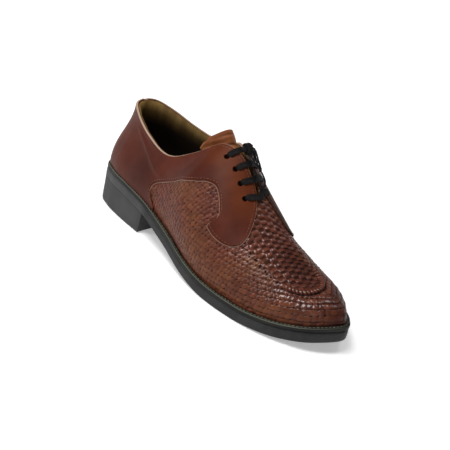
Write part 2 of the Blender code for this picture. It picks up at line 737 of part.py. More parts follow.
def make_lace_bar(number, eyelets):
    # a flat bar over the throat, from eyelet to eyelet
    lift = QUARTER_CLEAR + QUARTER_WALL + GAP + LACE_THICK / 2
    halves = []
    for side, (w, v) in eyelets.items():
        halves.append(skin(side, w, np.array((v, (v + 1) / 2, 1 - STEP)), lift))
    route = smooth_route(np.concatenate([halves[0], halves[1][::-1]]), BAR_STATIONS)
    w = eyelets[LATERAL][0]
    ahead = surface(LATERAL, w + STEP, 1.0) - surface(LATERAL, w - STEP, 1.0)
    turns = 2 * math.pi * (np.arange(LACE_SIDES) + 0.5) / LACE_SIDES
    oval = np.stack([np.cos(turns) * LACE_WIDTH / 2, np.sin(turns) * LACE_THICK / 2], -1)
    rings = []
    for i, point in enumerate(route):
        along = route[min(i + 1, len(route) - 1)] - route[max(i - 1, 0)]
        up = np.cross(ahead, along)
        up /= np.linalg.norm(up)
        wide = np.cross(along, up)
        wide /= np.linalg.norm(wide)
        rings.append([point + wide * a + up * b for a, b in oval])
    points, faces = loft(rings, True, True)
    return add_mesh(f"lace_bar_{number}", points, faces, "lace")


def make_knot():
    built = bmesh.new()
    bmesh.ops.create_uvsphere(built, u_segments=KNOT_SEGMENTS, v_segments=KNOT_RINGS, radius=0.5)
    bmesh.ops.scale(built, vec=[MM * s for s in KNOT_SIZE], verts=built.verts)
    data = bpy.data.meshes.new("lace_knot")
    built.to_mesh(data)
    built.free()
    data.shade_smooth()
    made = add_object("lace_knot", data, "lace")
    made.location = [MM * c for c in KNOT_CENTRE]
    made.rotation_euler = (0.0, math.radians(KNOT_TILT), 0.0)
    return made


def make_cord(name, route):
    data = bpy.data.curves.new(name, "CURVE")
    data.dimensions = "3D"
    data.bevel_depth = MM * LACE_ROUND / 2
    data.bevel_resolution = CORD_ROUNDNESS
    data.use_fill_caps = True
    length = sum(math.dist(a, b) for a, b in zip(route, route[1:]))
    points = smooth_route(route, round(length / (CORD_STEP * LACE_ROUND)) + 1)
    line = data.splines.new("POLY")
    line.points.add(len(points) - 1)
    for slot, point in zip(line.points, points):
        slot.co = (*(MM * c for c in point), 1.0)
    return add_object(name, data, "lace")


def punch(targets, side):
    # four lace holes along one facing
    built = bmesh.new()
    for w, v in EYELETS[side]:
        inner, outer = skin(side, w, v, -PUNCH_REACH), skin(side, w, v, PUNCH_REACH)
        axis = outer - inner
        across = np.cross(axis, (1.0, 0.0, 0.0))
        across /= np.linalg.norm(across)
        other = np.cross(axis, across)
        other /= np.linalg.norm(other)
        rings = []
        for end in (inner, outer):
            turns = 2 * math.pi * np.arange(PUNCH_SIDES) / PUNCH_SIDES
            spokes = [across * math.cos(t) + other * math.sin(t) for t in turns]
            rings.append([built.verts.new(MM * (end + EYELET_DIAMETER / 2 * s)) for s in spokes])
        for face in bridge(rings[0], rings[1], True) + [tuple(rings[0]), tuple(rings[1])]:
            built.faces.new(face)
    bmesh.ops.recalc_face_normals(built, faces=built.faces)
    name = "punch_lateral" if side == LATERAL else "punch_medial"
    data = bpy.data.meshes.new(name)
    built.to_mesh(data)
    built.free()
    cutter = bpy.data.objects.new(name, data)
    cutter.hide_render = True
    cutter.display_type = "WIRE"
    bpy.context.collection.objects.link(cutter)
    for target in targets:
        cut = target.modifiers.new(name, "BOOLEAN")
        cut.operation = "DIFFERENCE"
        cut.solver = "EXACT"
        cut.object = cutter
    return cutter


def main():
    for old in list(bpy.data.objects):
        bpy.data.objects.remove(old)
    upper = make_upper()
    quarters = {
        LATERAL: make_quarter("quarter_lateral", LATERAL),
        MEDIAL: make_quarter("quarter_medial", MEDIAL),
    }
    body = [upper, *quarters.values()]
    body += [make_outsole(), make_heel(), make_welt(), make_insole(), make_tongue()]
    for number, pair in enumerate(zip(*EYELETS.values()), 1):
        body.append(make_lace_bar(number, dict(zip(EYELETS, pair))))
    cords = [make_knot()]
    for name, route in CORD_ROUTES.items():
        cords.append(make_cord(name, route))
    cutters = [punch([upper, quarters[side]], side) for side in (LATERAL, MEDIAL)]

    # the shoe's origin is under the middle of its sole, on the floor
    corners = np.array([made.matrix_world @ v.co for made in body for v in made.data.vertices])
    centre = (corners.min(axis=0) + corners.max(axis=0)) / 2
    shoe = bpy.data.objects.new("shoe", None)
    bpy.context.collection.objects.link(shoe)
    shoe.location = (-centre[0], -centre[1], 0.0)
    for piece in body + cords + cutters:
        piece.parent = shoe


main()
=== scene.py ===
import math

import bmesh
import bpy
import numpy as np
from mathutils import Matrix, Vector


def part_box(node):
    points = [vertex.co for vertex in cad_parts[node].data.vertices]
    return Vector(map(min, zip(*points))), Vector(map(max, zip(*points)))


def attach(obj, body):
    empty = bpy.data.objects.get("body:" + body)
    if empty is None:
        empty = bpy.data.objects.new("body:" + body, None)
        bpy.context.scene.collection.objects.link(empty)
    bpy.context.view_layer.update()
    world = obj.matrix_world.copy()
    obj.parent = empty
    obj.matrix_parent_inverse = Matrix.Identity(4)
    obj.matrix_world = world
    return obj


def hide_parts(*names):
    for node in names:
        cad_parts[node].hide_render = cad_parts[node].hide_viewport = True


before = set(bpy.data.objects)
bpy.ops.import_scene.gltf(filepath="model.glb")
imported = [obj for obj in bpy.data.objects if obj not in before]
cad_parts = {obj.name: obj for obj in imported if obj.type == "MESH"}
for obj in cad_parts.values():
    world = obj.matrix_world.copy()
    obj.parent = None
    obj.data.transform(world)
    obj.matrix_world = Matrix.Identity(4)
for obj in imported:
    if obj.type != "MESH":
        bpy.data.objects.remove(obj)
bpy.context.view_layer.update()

# The blucher's looks. Shapes are worked out in millimetres from the back of the sole,
# then moved into the frame in metres. lateral is the outer side of a right shoe, at -Y.
mm = 0.001
lateral, medial = -1, 1
sideName = {lateral: "lateral", medial: "medial"}

lastForm = {
    "length": 279.0, "back": 5.0,      # feather line, and from the sole's back to it
    "toeTurn": 7.0,                    # the toe's turn to the inside of the foot
    "ridgeX": (120.0, 200.0, 250.0, 290.0), "ridgeTurn": (0.0, 0.2, 0.85, 1.0),    # shares of that turn
    "throat": 0.615,                   # girth station where the throat closes
    "topTurn": (0.3, 0.6),             # stations where the wall's top turns from the sole's plan to the ridge
    "ridgeFrom": 0.54, "steepest": 0.9,    # from there on the wall follows the ridge's slope, up to this
    "gap": 0.3,
    "flatFrom": 0.64, "flatTo": 0.77,  # where the forefoot stands on the floor
    "heelPitch": -8.0,                 # the sole's slope at its back, mm for its whole length
    "overrun": 0.03,                   # share of the length by which the sole passes the last
    "frameInset": 0.2,                 # the frame's outsole lies this far inside the plan of its edge
}
slopeStep = 2e-3                       # share of girth or height over which slopes are taken


class Sections:
    # rows of a form's sections; a column reads as a smooth curve along the first one
    def __init__(self, columns, rows):
        self.columns = columns.split()
        self.rows = np.array(rows, float)

    def column(self, name):
        return self.rows[:, self.columns.index(name)]

    def read(self, name, at, first=None, last=None):
        x, y = self.rows[:, 0], self.column(name)
        step = np.diff(x)
        rise = np.diff(y) / step
        slope = np.empty_like(y)
        slope[1:-1] = (rise[:-1] * step[1:] + rise[1:] * step[:-1]) / (step[:-1] + step[1:])
        slope[0] = rise[0] if first is None else first
        slope[-1] = rise[-1] if last is None else last
        at = np.asarray(at, float)
        i = np.clip(np.searchsorted(x, at, side="right") - 1, 0, len(x) - 2)
        t = (at - x[i]) / step[i]
        start = (2 * t**3 - 3 * t**2 + 1) * y[i] + (t**3 - 2 * t**2 + t) * step[i] * slope[i]
        end = (3 * t**2 - 2 * t**3) * y[i + 1] + (t**3 - t**2) * step[i] * slope[i + 1]
        return start + end


featherRows = Sections("w lateralX lateralY medialX medialY", (
    (0.000, 0.000, 0.0, 0.000, 0.0),
    (0.050, 0.018, -17.5, 0.018, 17.0),
    (0.110, 0.070, -25.0, 0.070, 24.5),
    (0.200, 0.160, -29.0, 0.160, 28.0),
    (0.320, 0.290, -30.0, 0.290, 25.5),
    (0.440, 0.410, -34.0, 0.420, 23.5),
    (0.550, 0.520, -41.0, 0.530, 28.0),
    (0.650, 0.620, -44.5, 0.640, 36.0),
    (0.740, 0.720, -43.5, 0.735, 41.5),
    (0.820, 0.815, -38.5, 0.825, 41.5),
    (0.900, 0.905, -28.0, 0.910, 34.5),
    (0.955, 0.968, -14.0, 0.968, 20.5),
    (1.000, 1.000, lastForm["toeTurn"], 1.000, lastForm["toeTurn"]),
))
soleRows = Sections("x bottom thick", (
    (0.00, 23.5, 7.6),
    (0.24, 20.0, 7.8),
    (0.34, 13.8, 8.2),
    (0.46, 6.8, 8.4),
    (0.57, 1.6, 8.6),
    (0.64, 0.0, 8.8),
    (0.77, 0.0, 8.8),
    (0.84, 1.4, 9.0),
    (0.92, 4.6, 9.6),
    (1.00, 10.6, 10.0),
))
topRows = Sections("w x lateralZ medialZ lateralGap medialGap", (
    (0.000, 13.5, 94.5, 94.5, 0.0, 0.0),
    (0.050, 16.5, 93.5, 94.0, 10.0, 10.0),
    (0.110, 29.0, 90.0, 91.0, 18.0, 18.0),
    (0.200, 55.5, 81.5, 86.5, 24.3, 24.0),
    (0.300, 86.0, 77.5, 88.0, 25.0, 23.5),
    (0.380, 109.0, 91.0, 96.0, 19.5, 19.0),
    (0.440, 127.5, 106.5, 104.5, 9.5, 9.5),
    (0.500, 144.0, 103.5, 99.5, 4.5, 5.0),
    (0.560, 159.7, 91.3, 88.0, 3.5, 3.5),
    (lastForm["throat"], 176.0, 75.0, 75.0, 0.0, 0.0),
    (0.667, 191.5, 63.5, 63.5, 0.0, 0.0),
    (0.780, 215.5, 52.2, 52.2, 0.0, 0.0),
    (0.900, 234.5, 46.3, 46.3, 0.0, 0.0),
    (1.000, 243.0, 44.5, 44.5, 0.0, 0.0),
))
girthRows = Sections("w footLean footReach topLean lateralReach medialReach", (
    (0.000, 3.0, 0.440, 92.0, 0.380, 0.380),
    (0.110, 13.0, 0.440, 92.0, 0.380, 0.380),
    (0.200, 16.0, 0.430, 92.0, 0.375, 0.375),
    (0.300, 20.0, 0.450, 78.0, 0.360, 0.360),
    (0.400, 26.0, 0.480, 52.0, 0.390, 0.375),
    (0.480, 30.0, 0.500, 29.0, 0.400, 0.350),
    (0.560, 30.0, 0.490, 15.0, 0.450, 0.310),
    (lastForm["throat"], 28.5, 0.475, 0.0, 0.475, 0.345),
    (0.667, 26.0, 0.460, 0.0, 0.485, 0.385),
    (0.800, 15.0, 0.400, 0.0, 0.495, 0.435),
    (1.000, 8.0, 0.430, 0.0, 0.530, 0.530),
))
ledgeRows = Sections("w width", (
    (0.0, 3.7), (0.2, 3.6), (0.4, 5.4), (0.6, 5.4), (0.8, 5.3), (1.0, 4.8),
))


def unit(vectors):
    return vectors / np.linalg.norm(vectors, axis=-1, keepdims=True)


def bell(value, wide):
    return np.exp(-(value / wide)**2)


def feather(side, w):
    # plan of the last's foot
    heelTurn = (featherRows.rows[1, 4] - featherRows.rows[1, 2]) / (2 * featherRows.rows[1, 0])
    toeTurn = (featherRows.rows[-2, 4] - featherRows.rows[-2, 2]) / (2 * (1 - featherRows.rows[-2, 0]))
    x = featherRows.read(sideName[side] + "X", w, 0.0, 0.0) * lastForm["length"] + lastForm["back"]
    y = featherRows.read(sideName[side] + "Y", w, side * heelTurn, -side * toeTurn)
    return x, y


def outward(side, w):
    # plan direction away from the last
    step = 1e-4
    ax, ay = feather(side, np.clip(w - step, 0, 1))
    bx, by = feather(side, np.clip(w + step, 0, 1))
    nx, ny = side * (ay - by), side * (bx - ax)
    size = np.hypot(nx, ny)
    return nx / size, ny / size


def soleShare(x):
    return np.clip((x - lastForm["back"]) / lastForm["length"], -lastForm["overrun"], 1 + lastForm["overrun"])


def soleBottom(x):
    share = soleShare(x)
    curved = np.maximum(soleRows.read("bottom", share, lastForm["heelPitch"]), 0.0)
    return np.where((share >= lastForm["flatFrom"]) & (share <= lastForm["flatTo"]), 0.0, curved)


def soleTop(x):
    return soleBottom(x) + soleRows.read("thick", soleShare(x), 0.0, 0.0)


def ridgeY(x):
    return lastForm["toeTurn"] * np.interp(x, lastForm["ridgeX"], lastForm["ridgeTurn"])


def topLine(side, w):
    gapName = sideName[side] + "Gap"
    start = topRows.column(gapName)[1] / topRows.rows[1, 0]
    gap = np.maximum(topRows.read(gapName, w, start), 0.0)
    gap = np.where(np.asarray(w) >= lastForm["throat"], 0.0, gap)
    x = topRows.read("x", w, 0.0)
    return np.stack([x, side * gap + ridgeY(x), topRows.read(sideName[side] + "Z", w, 0.0)], -1)


def ramp(value, low, high):
    t = np.clip((value - low) / (high - low), 0.0, 1.0)
    return t * t * (3 - 2 * t)


def surface(side, w, v):
    # outside of the last: w from the heel back to the toe, v from the feather line to the top line
    w, v = np.broadcast_arrays(np.asarray(w, float), np.asarray(v, float))
    fx, fy = feather(side, w)
    foot = np.stack([fx, fy, soleTop(fx) + lastForm["gap"]], -1)
    top = topLine(side, w)
    reach = np.linalg.norm(top - foot, axis=-1)
    nx, ny = outward(side, w)
    footLean = np.radians(girthRows.read("footLean", w))
    topLean = np.radians(girthRows.read("topLean", w))
    rise = np.stack([nx * np.sin(footLean), ny * np.sin(footLean), np.cos(footLean)], -1)
    px, py = fx - top[..., 0], fy - top[..., 1]
    size = np.hypot(px, py) + 1e-6
    turn = ramp(w, *lastForm["topTurn"])
    ox, oy = nx * (1 - turn) + px / size * turn, ny * (1 - turn) + py / size * turn
    size = np.hypot(ox, oy)
    ox, oy = ox / size, oy / size
    run = topLine(side, np.clip(w + slopeStep, 0, 1)) - topLine(side, np.clip(w - slopeStep, 0, 1))
    ridgeSlope = np.clip(run[..., 2] / (run[..., 0] + 1e-9), -lastForm["steepest"], lastForm["steepest"])
    down = -np.sin(topLean) + ramp(w, lastForm["ridgeFrom"], lastForm["throat"]) * ridgeSlope * ox
    fall = np.stack([ox * np.cos(topLean), oy * np.cos(topLean), down], -1)
    low = foot + (girthRows.read("footReach", w) * reach)[..., None] * rise
    high = top + (girthRows.read(sideName[side] + "Reach", w) * reach)[..., None] * fall
    v = v[..., None]
    return (1 - v)**3 * foot + 3 * (1 - v)**2 * v * low + 3 * (1 - v) * v**2 * high + v**3 * top


def normalAt(side, w, v):
    w, v = np.broadcast_arrays(np.asarray(w, float), np.asarray(v, float))
    step = slopeStep
    along = surface(side, np.minimum(w + step, 1), v) - surface(side, np.maximum(w - step, 0), v)
    up = surface(side, w, np.minimum(v + step, 1)) - surface(side, w, np.maximum(v - step, 0))
    return unit(np.cross(along, up) * -side)


def skin(side, w, v, lift):
    return surface(side, w, v) + np.asarray(lift, float)[..., None] * normalAt(side, w, v)


def lengthAlong(points):
    # running length of rows of points along the first axis
    step = np.linalg.norm(np.diff(points, axis=0), axis=-1)
    return np.concatenate([np.zeros((1,) + step.shape[1:]), np.cumsum(step, axis=0)])


def smoothRoute(points, count):
    # evenly stepped points of a smooth curve through given ones
    points = np.array(points, float)
    at = lengthAlong(points)
    route = Sections("at x y z", np.column_stack([at, points]))
    steps = np.linspace(0.0, at[-1], count)
    return np.stack([route.read(axis, steps) for axis in "xyz"], -1)


def edgePlan(count, widthShare=1.0, inset=0.0, crowding=0.06):
    # plan of the sole's edge: lateral side to the toe, medial side back; third is the last's own x
    share = np.linspace(0.0, 1.0, count + 1)
    stations = share - crowding * np.sin(2 * math.pi * share)
    plan = []
    for side, order in ((lateral, stations), (medial, stations[-2:0:-1])):
        x, y = feather(side, order)
        nx, ny = outward(side, order)
        out = ledgeRows.read("width", order) * widthShare - inset
        plan.append(np.stack([x + nx * out, y + ny * out, x, order, np.full_like(x, side)], -1))
    return np.concatenate(plan)


# The frame's outsole says where the last's own origin lies in the frame
soleBox = np.array([list(corner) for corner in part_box("outsole")])[:, :2] / mm
solePlan = edgePlan(400, inset=lastForm["frameInset"])[:, :2]
frameShift = np.append(soleBox.sum(0) / 2 - (solePlan.min(0) + solePlan.max(0)) / 2, 0.0)
print("frame shift, mm:", np.round(frameShift, 2))


def toFrame(points):
    return (np.asarray(points, float) + frameShift) * mm


# Sockets of a node tree as Python values
class Tone:
    def __init__(self, tree, socket=None):
        self.tree, self.socket = tree, socket

    def node(self, kind, settings=None, values=None, output=0):
        made = self.tree.nodes.new(kind)
        for name, value in (settings or {}).items():
            setattr(made, name, value)
        for name, value in (values or {}).items():
            if isinstance(value, Tone):
                self.tree.links.new(value.socket, made.inputs[name])
            else:
                made.inputs[name].default_value = value
        return Tone(self.tree, made.outputs[output])

    def output(self, name):
        # another output of the same node
        return Tone(self.tree, self.socket.node.outputs[name])

    def math(self, operation, first, second=0.0):
        return self.node("ShaderNodeMath", {"operation": operation}, {0: first, 1: second})

    def __add__(self, other):
        return self.math("ADD", self, other)

    def __sub__(self, other):
        return self.math("SUBTRACT", self, other)

    def __rsub__(self, other):
        return self.math("SUBTRACT", other, self)

    def __mul__(self, other):
        return self.math("MULTIPLY", self, other)

    __radd__, __rmul__ = __add__, __mul__

    def between(self, low, high, toLow=0.0, toHigh=1.0):
        return self.node("ShaderNodeMapRange", {"interpolation_type": "SMOOTHSTEP"}, {
            "Value": self, "From Min": low, "From Max": high, "To Min": toLow, "To Max": toHigh})

    def mix(self, first, second):
        # this value carries one colour into another
        first, second = [c if isinstance(c, Tone) else (*c, 1.0) for c in (first, second)]
        return self.node("ShaderNodeMix", {"data_type": "RGBA"}, {0: self, 6: first, 7: second}, 2)

    def attribute(self, name):
        return self.node("ShaderNodeAttribute", {"attribute_name": name}, output=2)

    def place(self):
        return self.node("ShaderNodeTexCoord", output=3)

    def axis(self, name):
        return self.node("ShaderNodeSeparateXYZ", {}, {0: self.place()}, name)

    def noise(self, scale, detail=3.0, where=None):
        return self.node("ShaderNodeTexNoise", {}, {
            "Vector": where or self.place(), "Scale": scale, "Detail": detail, "Roughness": 0.55})

    def grain(self, scale):
        values = {"Vector": self.place(), "Scale": scale}
        return self.node("ShaderNodeTexVoronoi", {"feature": "DISTANCE_TO_EDGE"}, values)

    def bump(self, height, strength, distance):
        return self.node("ShaderNodeBump", {}, {"Height": height, "Strength": strength, "Distance": distance})


def makeMaterial(name, specular, varying, fixed=None):
    # fixed numbers go on the shader's own sockets; varying(tone) gives the linked ones
    made = bpy.data.materials.new(name)
    made.use_nodes = True
    shader = made.node_tree.nodes["Principled BSDF"]
    for socket, value in {"Specular IOR Level": specular, **(fixed or {})}.items():
        shader.inputs[socket].default_value = value
    for socket, value in varying(Tone(made.node_tree)).items():
        made.node_tree.links.new(value.socket, shader.inputs[socket])
    return made


def mottled(dark, light, scale, rough, detail=4.0, span=(0.3, 0.75), relief=None):
    # plain stuff, clouded between two colours; relief is the scale, strength and distance of its grain
    def look(tone):
        cloud = tone.noise(scale, detail)
        made = {"Base Color": cloud.between(*span).mix(dark, light), "Roughness": rough + 0.2 * cloud}
        if relief:
            made["Normal"] = tone.bump(tone.noise(relief[0]), *relief[1:])
        return made

    return look


def addObject(name, data):
    made = bpy.data.objects.new(name, data)
    bpy.context.scene.collection.objects.link(made)
    return made


def addPiece(name, points, faces, materials, facePaint=None, attributes=None, uv=None, sharp=None):
    # a finished mesh in the frame: points in millimetres, attributes one value a point
    data = bpy.data.meshes.new(name)
    data.from_pydata(toFrame(points).tolist(), [], [tuple(map(int, f)) for f in faces])
    for paint in materials:
        data.materials.append(paint)
    if facePaint is not None:
        data.polygons.foreach_set("material_index", np.asarray(facePaint, np.int32))
    for title, values in (attributes or {}).items():
        layer = data.attributes.new(title, "FLOAT", "POINT")
        layer.data.foreach_set("value", np.asarray(values, np.float32))
    if uv is not None:
        layer = data.uv_layers.new(name="UVMap")
        corners = np.empty(len(data.loops), np.int32)
        data.loops.foreach_get("vertex_index", corners)
        layer.data.foreach_set("uv", np.asarray(uv, np.float32)[corners].ravel())
    data.validate()
    built = bmesh.new()
    built.from_mesh(data)
    bmesh.ops.recalc_face_normals(built, faces=built.faces)
    built.to_mesh(data)
    built.free()
    data.shade_smooth()
    if sharp:
        data.set_sharp_from_angle(angle=math.radians(sharp))
    return addObject(name, data)


def settle(made):
    # what the modifiers give becomes the piece's plain mesh
    old = made.data
    solid = made.evaluated_get(bpy.context.evaluated_depsgraph_get())
    made.data = bpy.data.meshes.new_from_object(solid)
    made.modifiers.clear()
    bpy.data.meshes.remove(old)


def finishPiece(made, slotName, *nodes):
    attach(made, "root")
    if nodes:
        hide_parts(*nodes)
    print("piece", made.name, len(made.data.polygons))
    return made


def gridNumber(rows, columns, first=0):
    # point numbers of a grid, row by row
    return first + np.arange(rows * columns).reshape(rows, columns)


def quads(number, closed=False):
    # faces between the rows of a grid of point numbers; a closed row joins its own start
    if closed:
        number = np.concatenate([number, number[:, :1]], axis=1)
    corners = [number[:-1, :-1], number[:-1, 1:], number[1:, 1:], number[1:, :-1]]
    return np.stack(corners, -1).reshape(-1, 4).tolist()


def shell(outer, inner, rims, r, c):
    # points and faces of a sheet: two grids, and the loops that round its edge from one to the other
    n, m = outer.shape[:2]
    first, second = gridNumber(n, m), gridNumber(n, m, n * m)
    rings = np.concatenate([first[r, c][None], gridNumber(len(rims), len(r), 2 * n * m), second[r, c][None]])
    faces = quads(first) + [face[::-1] for face in quads(second)] + quads(rings, True)
    return np.concatenate([outer.reshape(-1, 3), inner.reshape(-1, 3), *rims]), faces


def rimOrder(n, m):
    # rows and columns along the edge of a grid, once around
    ids = [(r, 0) for r in range(n)] + [(n - 1, c) for c in range(1, m)]
    ids += [(r, m - 1) for r in range(n - 2, -1, -1)] + [(0, c) for c in range(m - 2, 0, -1)]
    return np.array(ids).T


# Camera at the photograph's angle: the image is 450 pixels square
camera = {
    "azimuth": 42.25, "elevation": 24.96, "roll": 15.35,
    "distance": 1300.0, "target": (150.0, 0.0, 40.0),
    "focalPixels": 1564.5, "centre": (230.9, 228.0), "image": 450,
}


def makeCamera():
    data = bpy.data.cameras.new("camera")
    size = camera["image"]
    data.sensor_width = 36.0
    data.lens = camera["focalPixels"] * data.sensor_width / size
    data.shift_x = -(camera["centre"][0] - size / 2) / size
    data.shift_y = (camera["centre"][1] - size / 2) / size
    data.clip_start, data.clip_end = 0.01, 50.0
    turn, tilt = math.radians(camera["azimuth"]), math.radians(camera["elevation"])
    back = Vector((math.sin(turn) * math.cos(tilt), -math.cos(turn) * math.cos(tilt), math.sin(tilt)))
    made = addObject("camera", data)
    made.location = Vector(toFrame(camera["target"])) + back * camera["distance"] * mm
    made.rotation_euler = (-back).to_track_quat("-Z", "Y").to_euler()
    made.rotation_euler.rotate_axis("Z", math.radians(camera["roll"]))
    bpy.context.scene.camera = made


makeCamera()

# Woven leather
weave = {
    "sidePitch": (3.7, 4.3), "toePitch": (4.9, 5.1),       # of strips across the sole, and along it
    "toeFrom": (0.76, 0.90),            # stations where the side's weave becomes the toe's
    "lean": 0.27, "leanFade": (0.78, 0.92),        # crossing strips lean to the toe, mm for each mm of height
    "apronAcross": 6.0, "apronAlong": 2.8,         # the apron's bricks
    "wave": 0.46, "crown": 0.34,        # over and under, and the round of a strip
    "flat": (0.6, 0.42), "tip": 1.1,    # how flat a visible piece is, side and toe, and how far it may tip
    "gap": 0.30,                        # the holes between strips lie this far below them
    "top": 0.30,                        # highest crown against the last
    "cover": 0.44,                      # half a strip's width as a share of its pitch
    "sideRelief": 0.88, "sideGloss": 0.22,         # low down on the side the weave is flatter and duller
    "raised": (                         # stations and heights where it is not
        ((0.76, 0.88), (0.12, 0.42)), ((0.62, 0.70), (0.40, 0.70))),
    "sinkWindow": 0.15, "sinkToe": 0.16, "dimToe": 0.34,   # lower strips: along the sole, at the toe across; they also take painted shade
    "sinkTurn": (0.55, 0.85),           # stations from the one to the other
    "brickCover": 0.60, "brickSink": 0.70,         # the apron's bricks spread over the strips between
    "dark": 0.45, "apronShadeAt": (227.0, 2.0), "apronShadeWide": (24.0, 12.0),        # painted shade on the apron, with fewer glints
    "toePaintedShade": 1.1, "toePaintedShadeFrom": (193.0, 210.0),         # painted shade: the toe darkens to the inside of the foot, turned from the lamps
    "toePaintedShadeWay": (0.74, 0.67), "toePaintedShadeX": (232.0, 252.0),
    "toeFoot": 0.45, "toeFootDark": 0.25,          # the toe's lowest rows: less painted shade in their gaps, and a darker tone
    "toeFootAt": ((0.80, 0.88), (0.10, 0.28)),
    "wall": 1.8,
    "colours": ((0.052, 0.012, 0.007), (0.142, 0.036, 0.019), (0.152, 0.048, 0.018)),      # dark, red, brown
    # painted shade: the colour of the weave's gaps
    "gapShadeColour": (0.006, 0.002, 0.002), "coat": 0.85,
    "lining": ((0.120, 0.066, 0.017), (0.330, 0.205, 0.062)), "liningShade": (0.009, 0.005, 0.003),
    "liningShadeHeights": (0.070, 0.099),    # in metres: below them the lining is painted in shade
    "columns": 345, "rows": 120,        # fine grid of the woven part, each side
    "rearColumns": 28, "fineFrom": 0.285,
    "liningEvery": 6,                   # the lining takes every sixth column and row
    "bare": (                           # stations, tops of the bare weave and its shares of the rows
        (0.30, 0.52, 0.70), (0.64, 0.80, 1.0), (0.86, 0.92, 1.0)),
}
apronSeam = {
    "halfWidth": 20.4, "shift": 8.5, "front": 257.3, "arc": 35.0, "power": 2.2, "from": 0.68, "lowest": 0.2,
    "fade": (0.700, 0.730), "under": 0.12,         # where it comes out from under the quarter
    "rise": 2.0, "half": 3.1, "rope": (0.84, 0.89),        # whipped roll around the front
    "sunk": 0.45, "deepest": -0.6,      # the roll against the last
    "strand": 0.46, "between": 0.45, "stitch": 3.0, "slant": 1.1,
    "sideRise": 0.6, "sideHole": 6.5,   # plain ridge along the sides, with a row of holes darkened by painted shade
    "holeDeep": 0.5, "holeSize": (1.1, 0.9), "holeOut": 1.4,
    "groove": 0.5, "grooveOut": 0.4, "grooveWide": 0.8,    # groove outside the roll, darkened by painted shade
    "dent": 2.2, "dentBehind": 13.0, "dentLong": 8.5, "dentWide": 17.0,    # hollow behind the front
}


def inApron(point):
    across = np.abs(point[..., 1] - ridgeY(point[..., 0]) + apronSeam["shift"]) / apronSeam["halfWidth"]
    ahead = np.maximum(0.0, point[..., 0] - (apronSeam["front"] - apronSeam["arc"])) / apronSeam["arc"]
    return across**apronSeam["power"] + ahead**apronSeam["power"]


def apronHeight(side, w):
    # height share where each girth line crosses the apron seam
    w = np.maximum(w, apronSeam["from"])
    low, high = np.full_like(w, apronSeam["lowest"]), np.ones_like(w)
    for _ in range(30):
        middle = (low + high) / 2
        outside = inApron(surface(side, w, middle)) > 1.0
        low, high = np.where(outside, middle, low), np.where(outside, high, middle)
    return low


def steadyRandom(*numbers):
    # the same random share for the same whole numbers
    total = sum(n * k for n, k in zip(numbers, (12.9898, 78.233, 37.719)))
    return np.modf(np.abs(np.sin(total + 4.1) * 43758.5453))[0]


def plainWeave(a, b, coverA, coverB, sinkA, sinkB, dimB, flat):
    # strips along a and b, in pitches: depth below the highest crown, and a shade for each visible piece,
    # random, with painted shade on the lower strips
    i, j = np.floor(a), np.floor(b)
    fa, fb = a - i - 0.5, b - j - 0.5
    height = np.full(a.shape, -weave["wave"] - weave["gap"])
    shade = np.zeros(a.shape)

    def lay(sign, along, across, cover, sink, dim, *piece):
        edge = np.minimum(np.abs(across) / cover, 1.0)
        turn = (steadyRandom(*piece, 5.0) - 0.5) * along + (steadyRandom(*piece, 7.0) - 0.5) * across
        arch = sign * weave["wave"] * np.cos(math.pi * along)**flat
        strip = arch + weave["tip"] * turn - sink + weave["crown"] * np.sqrt(1 - edge**3)
        strip = np.where(edge < 1.0, strip, -9.0)
        # painted shade: a lower strip's pieces are darker by dim
        shade[:] = np.where(strip > height, steadyRandom(*piece) - dim, shade)
        height[:] = np.maximum(strip, height)

    for k in (-1, 0, 1):
        sign = np.where((i + j + k) % 2 == 0, 1.0, -1.0)
        lay(sign, fa, fb - k, coverA, sinkA, 0.5 * sinkA, i, j + k)
        lay(-sign, fb, fa - k, coverB, sinkB, dimB, i + k + 60, j)
    return np.minimum(height - weave["wave"] - weave["crown"], 0.15), shade


def skirtWeave(side, columns, up):
    # strips around the side and toe, counted from the toe tip
    waist = surface(side, columns, 0.35)
    across, along = [np.interp(columns, weave["toeFrom"], pair)
                     for pair in zip(weave["sidePitch"], weave["toePitch"])]
    step = np.linalg.norm(np.diff(waist, axis=0), axis=-1) / ((across[1:] + across[:-1]) / 2)
    count = np.concatenate([np.cumsum(step[::-1])[::-1], [0.0]])[:, None]
    lean = weave["lean"] * (1 - ramp(columns, *weave["leanFade"]))[:, None] * up / across[:, None]
    toward = ramp(columns, *weave["sinkTurn"])[:, None]
    return plainWeave(
        side * (count + lean), up / along[:, None] - 0.3, weave["cover"], weave["cover"],
        weave["sinkWindow"] * (1 - toward), weave["sinkToe"] * toward, weave["dimToe"] * toward,
        np.interp(columns, weave["toeFrom"], weave["flat"])[:, None])


def apronWeave(base):
    # bricks across the ridge
    ridgeX = np.linspace(150.0, 290.0, 300)
    ridgeZ = np.interp(ridgeX, topRows.column("x"), topRows.column("lateralZ"))
    a = (base[..., 1] - ridgeY(base[..., 0])) / weave["apronAcross"] + 0.5
    b = np.interp(base[..., 0], ridgeX, lengthAlong(np.stack([ridgeX, ridgeZ], -1))) / weave["apronAlong"]
    sink = weave["brickSink"]
    return plainWeave(a, b, weave["brickCover"], weave["cover"], 0.0, sink, 0.5 * sink, weave["flat"][0])


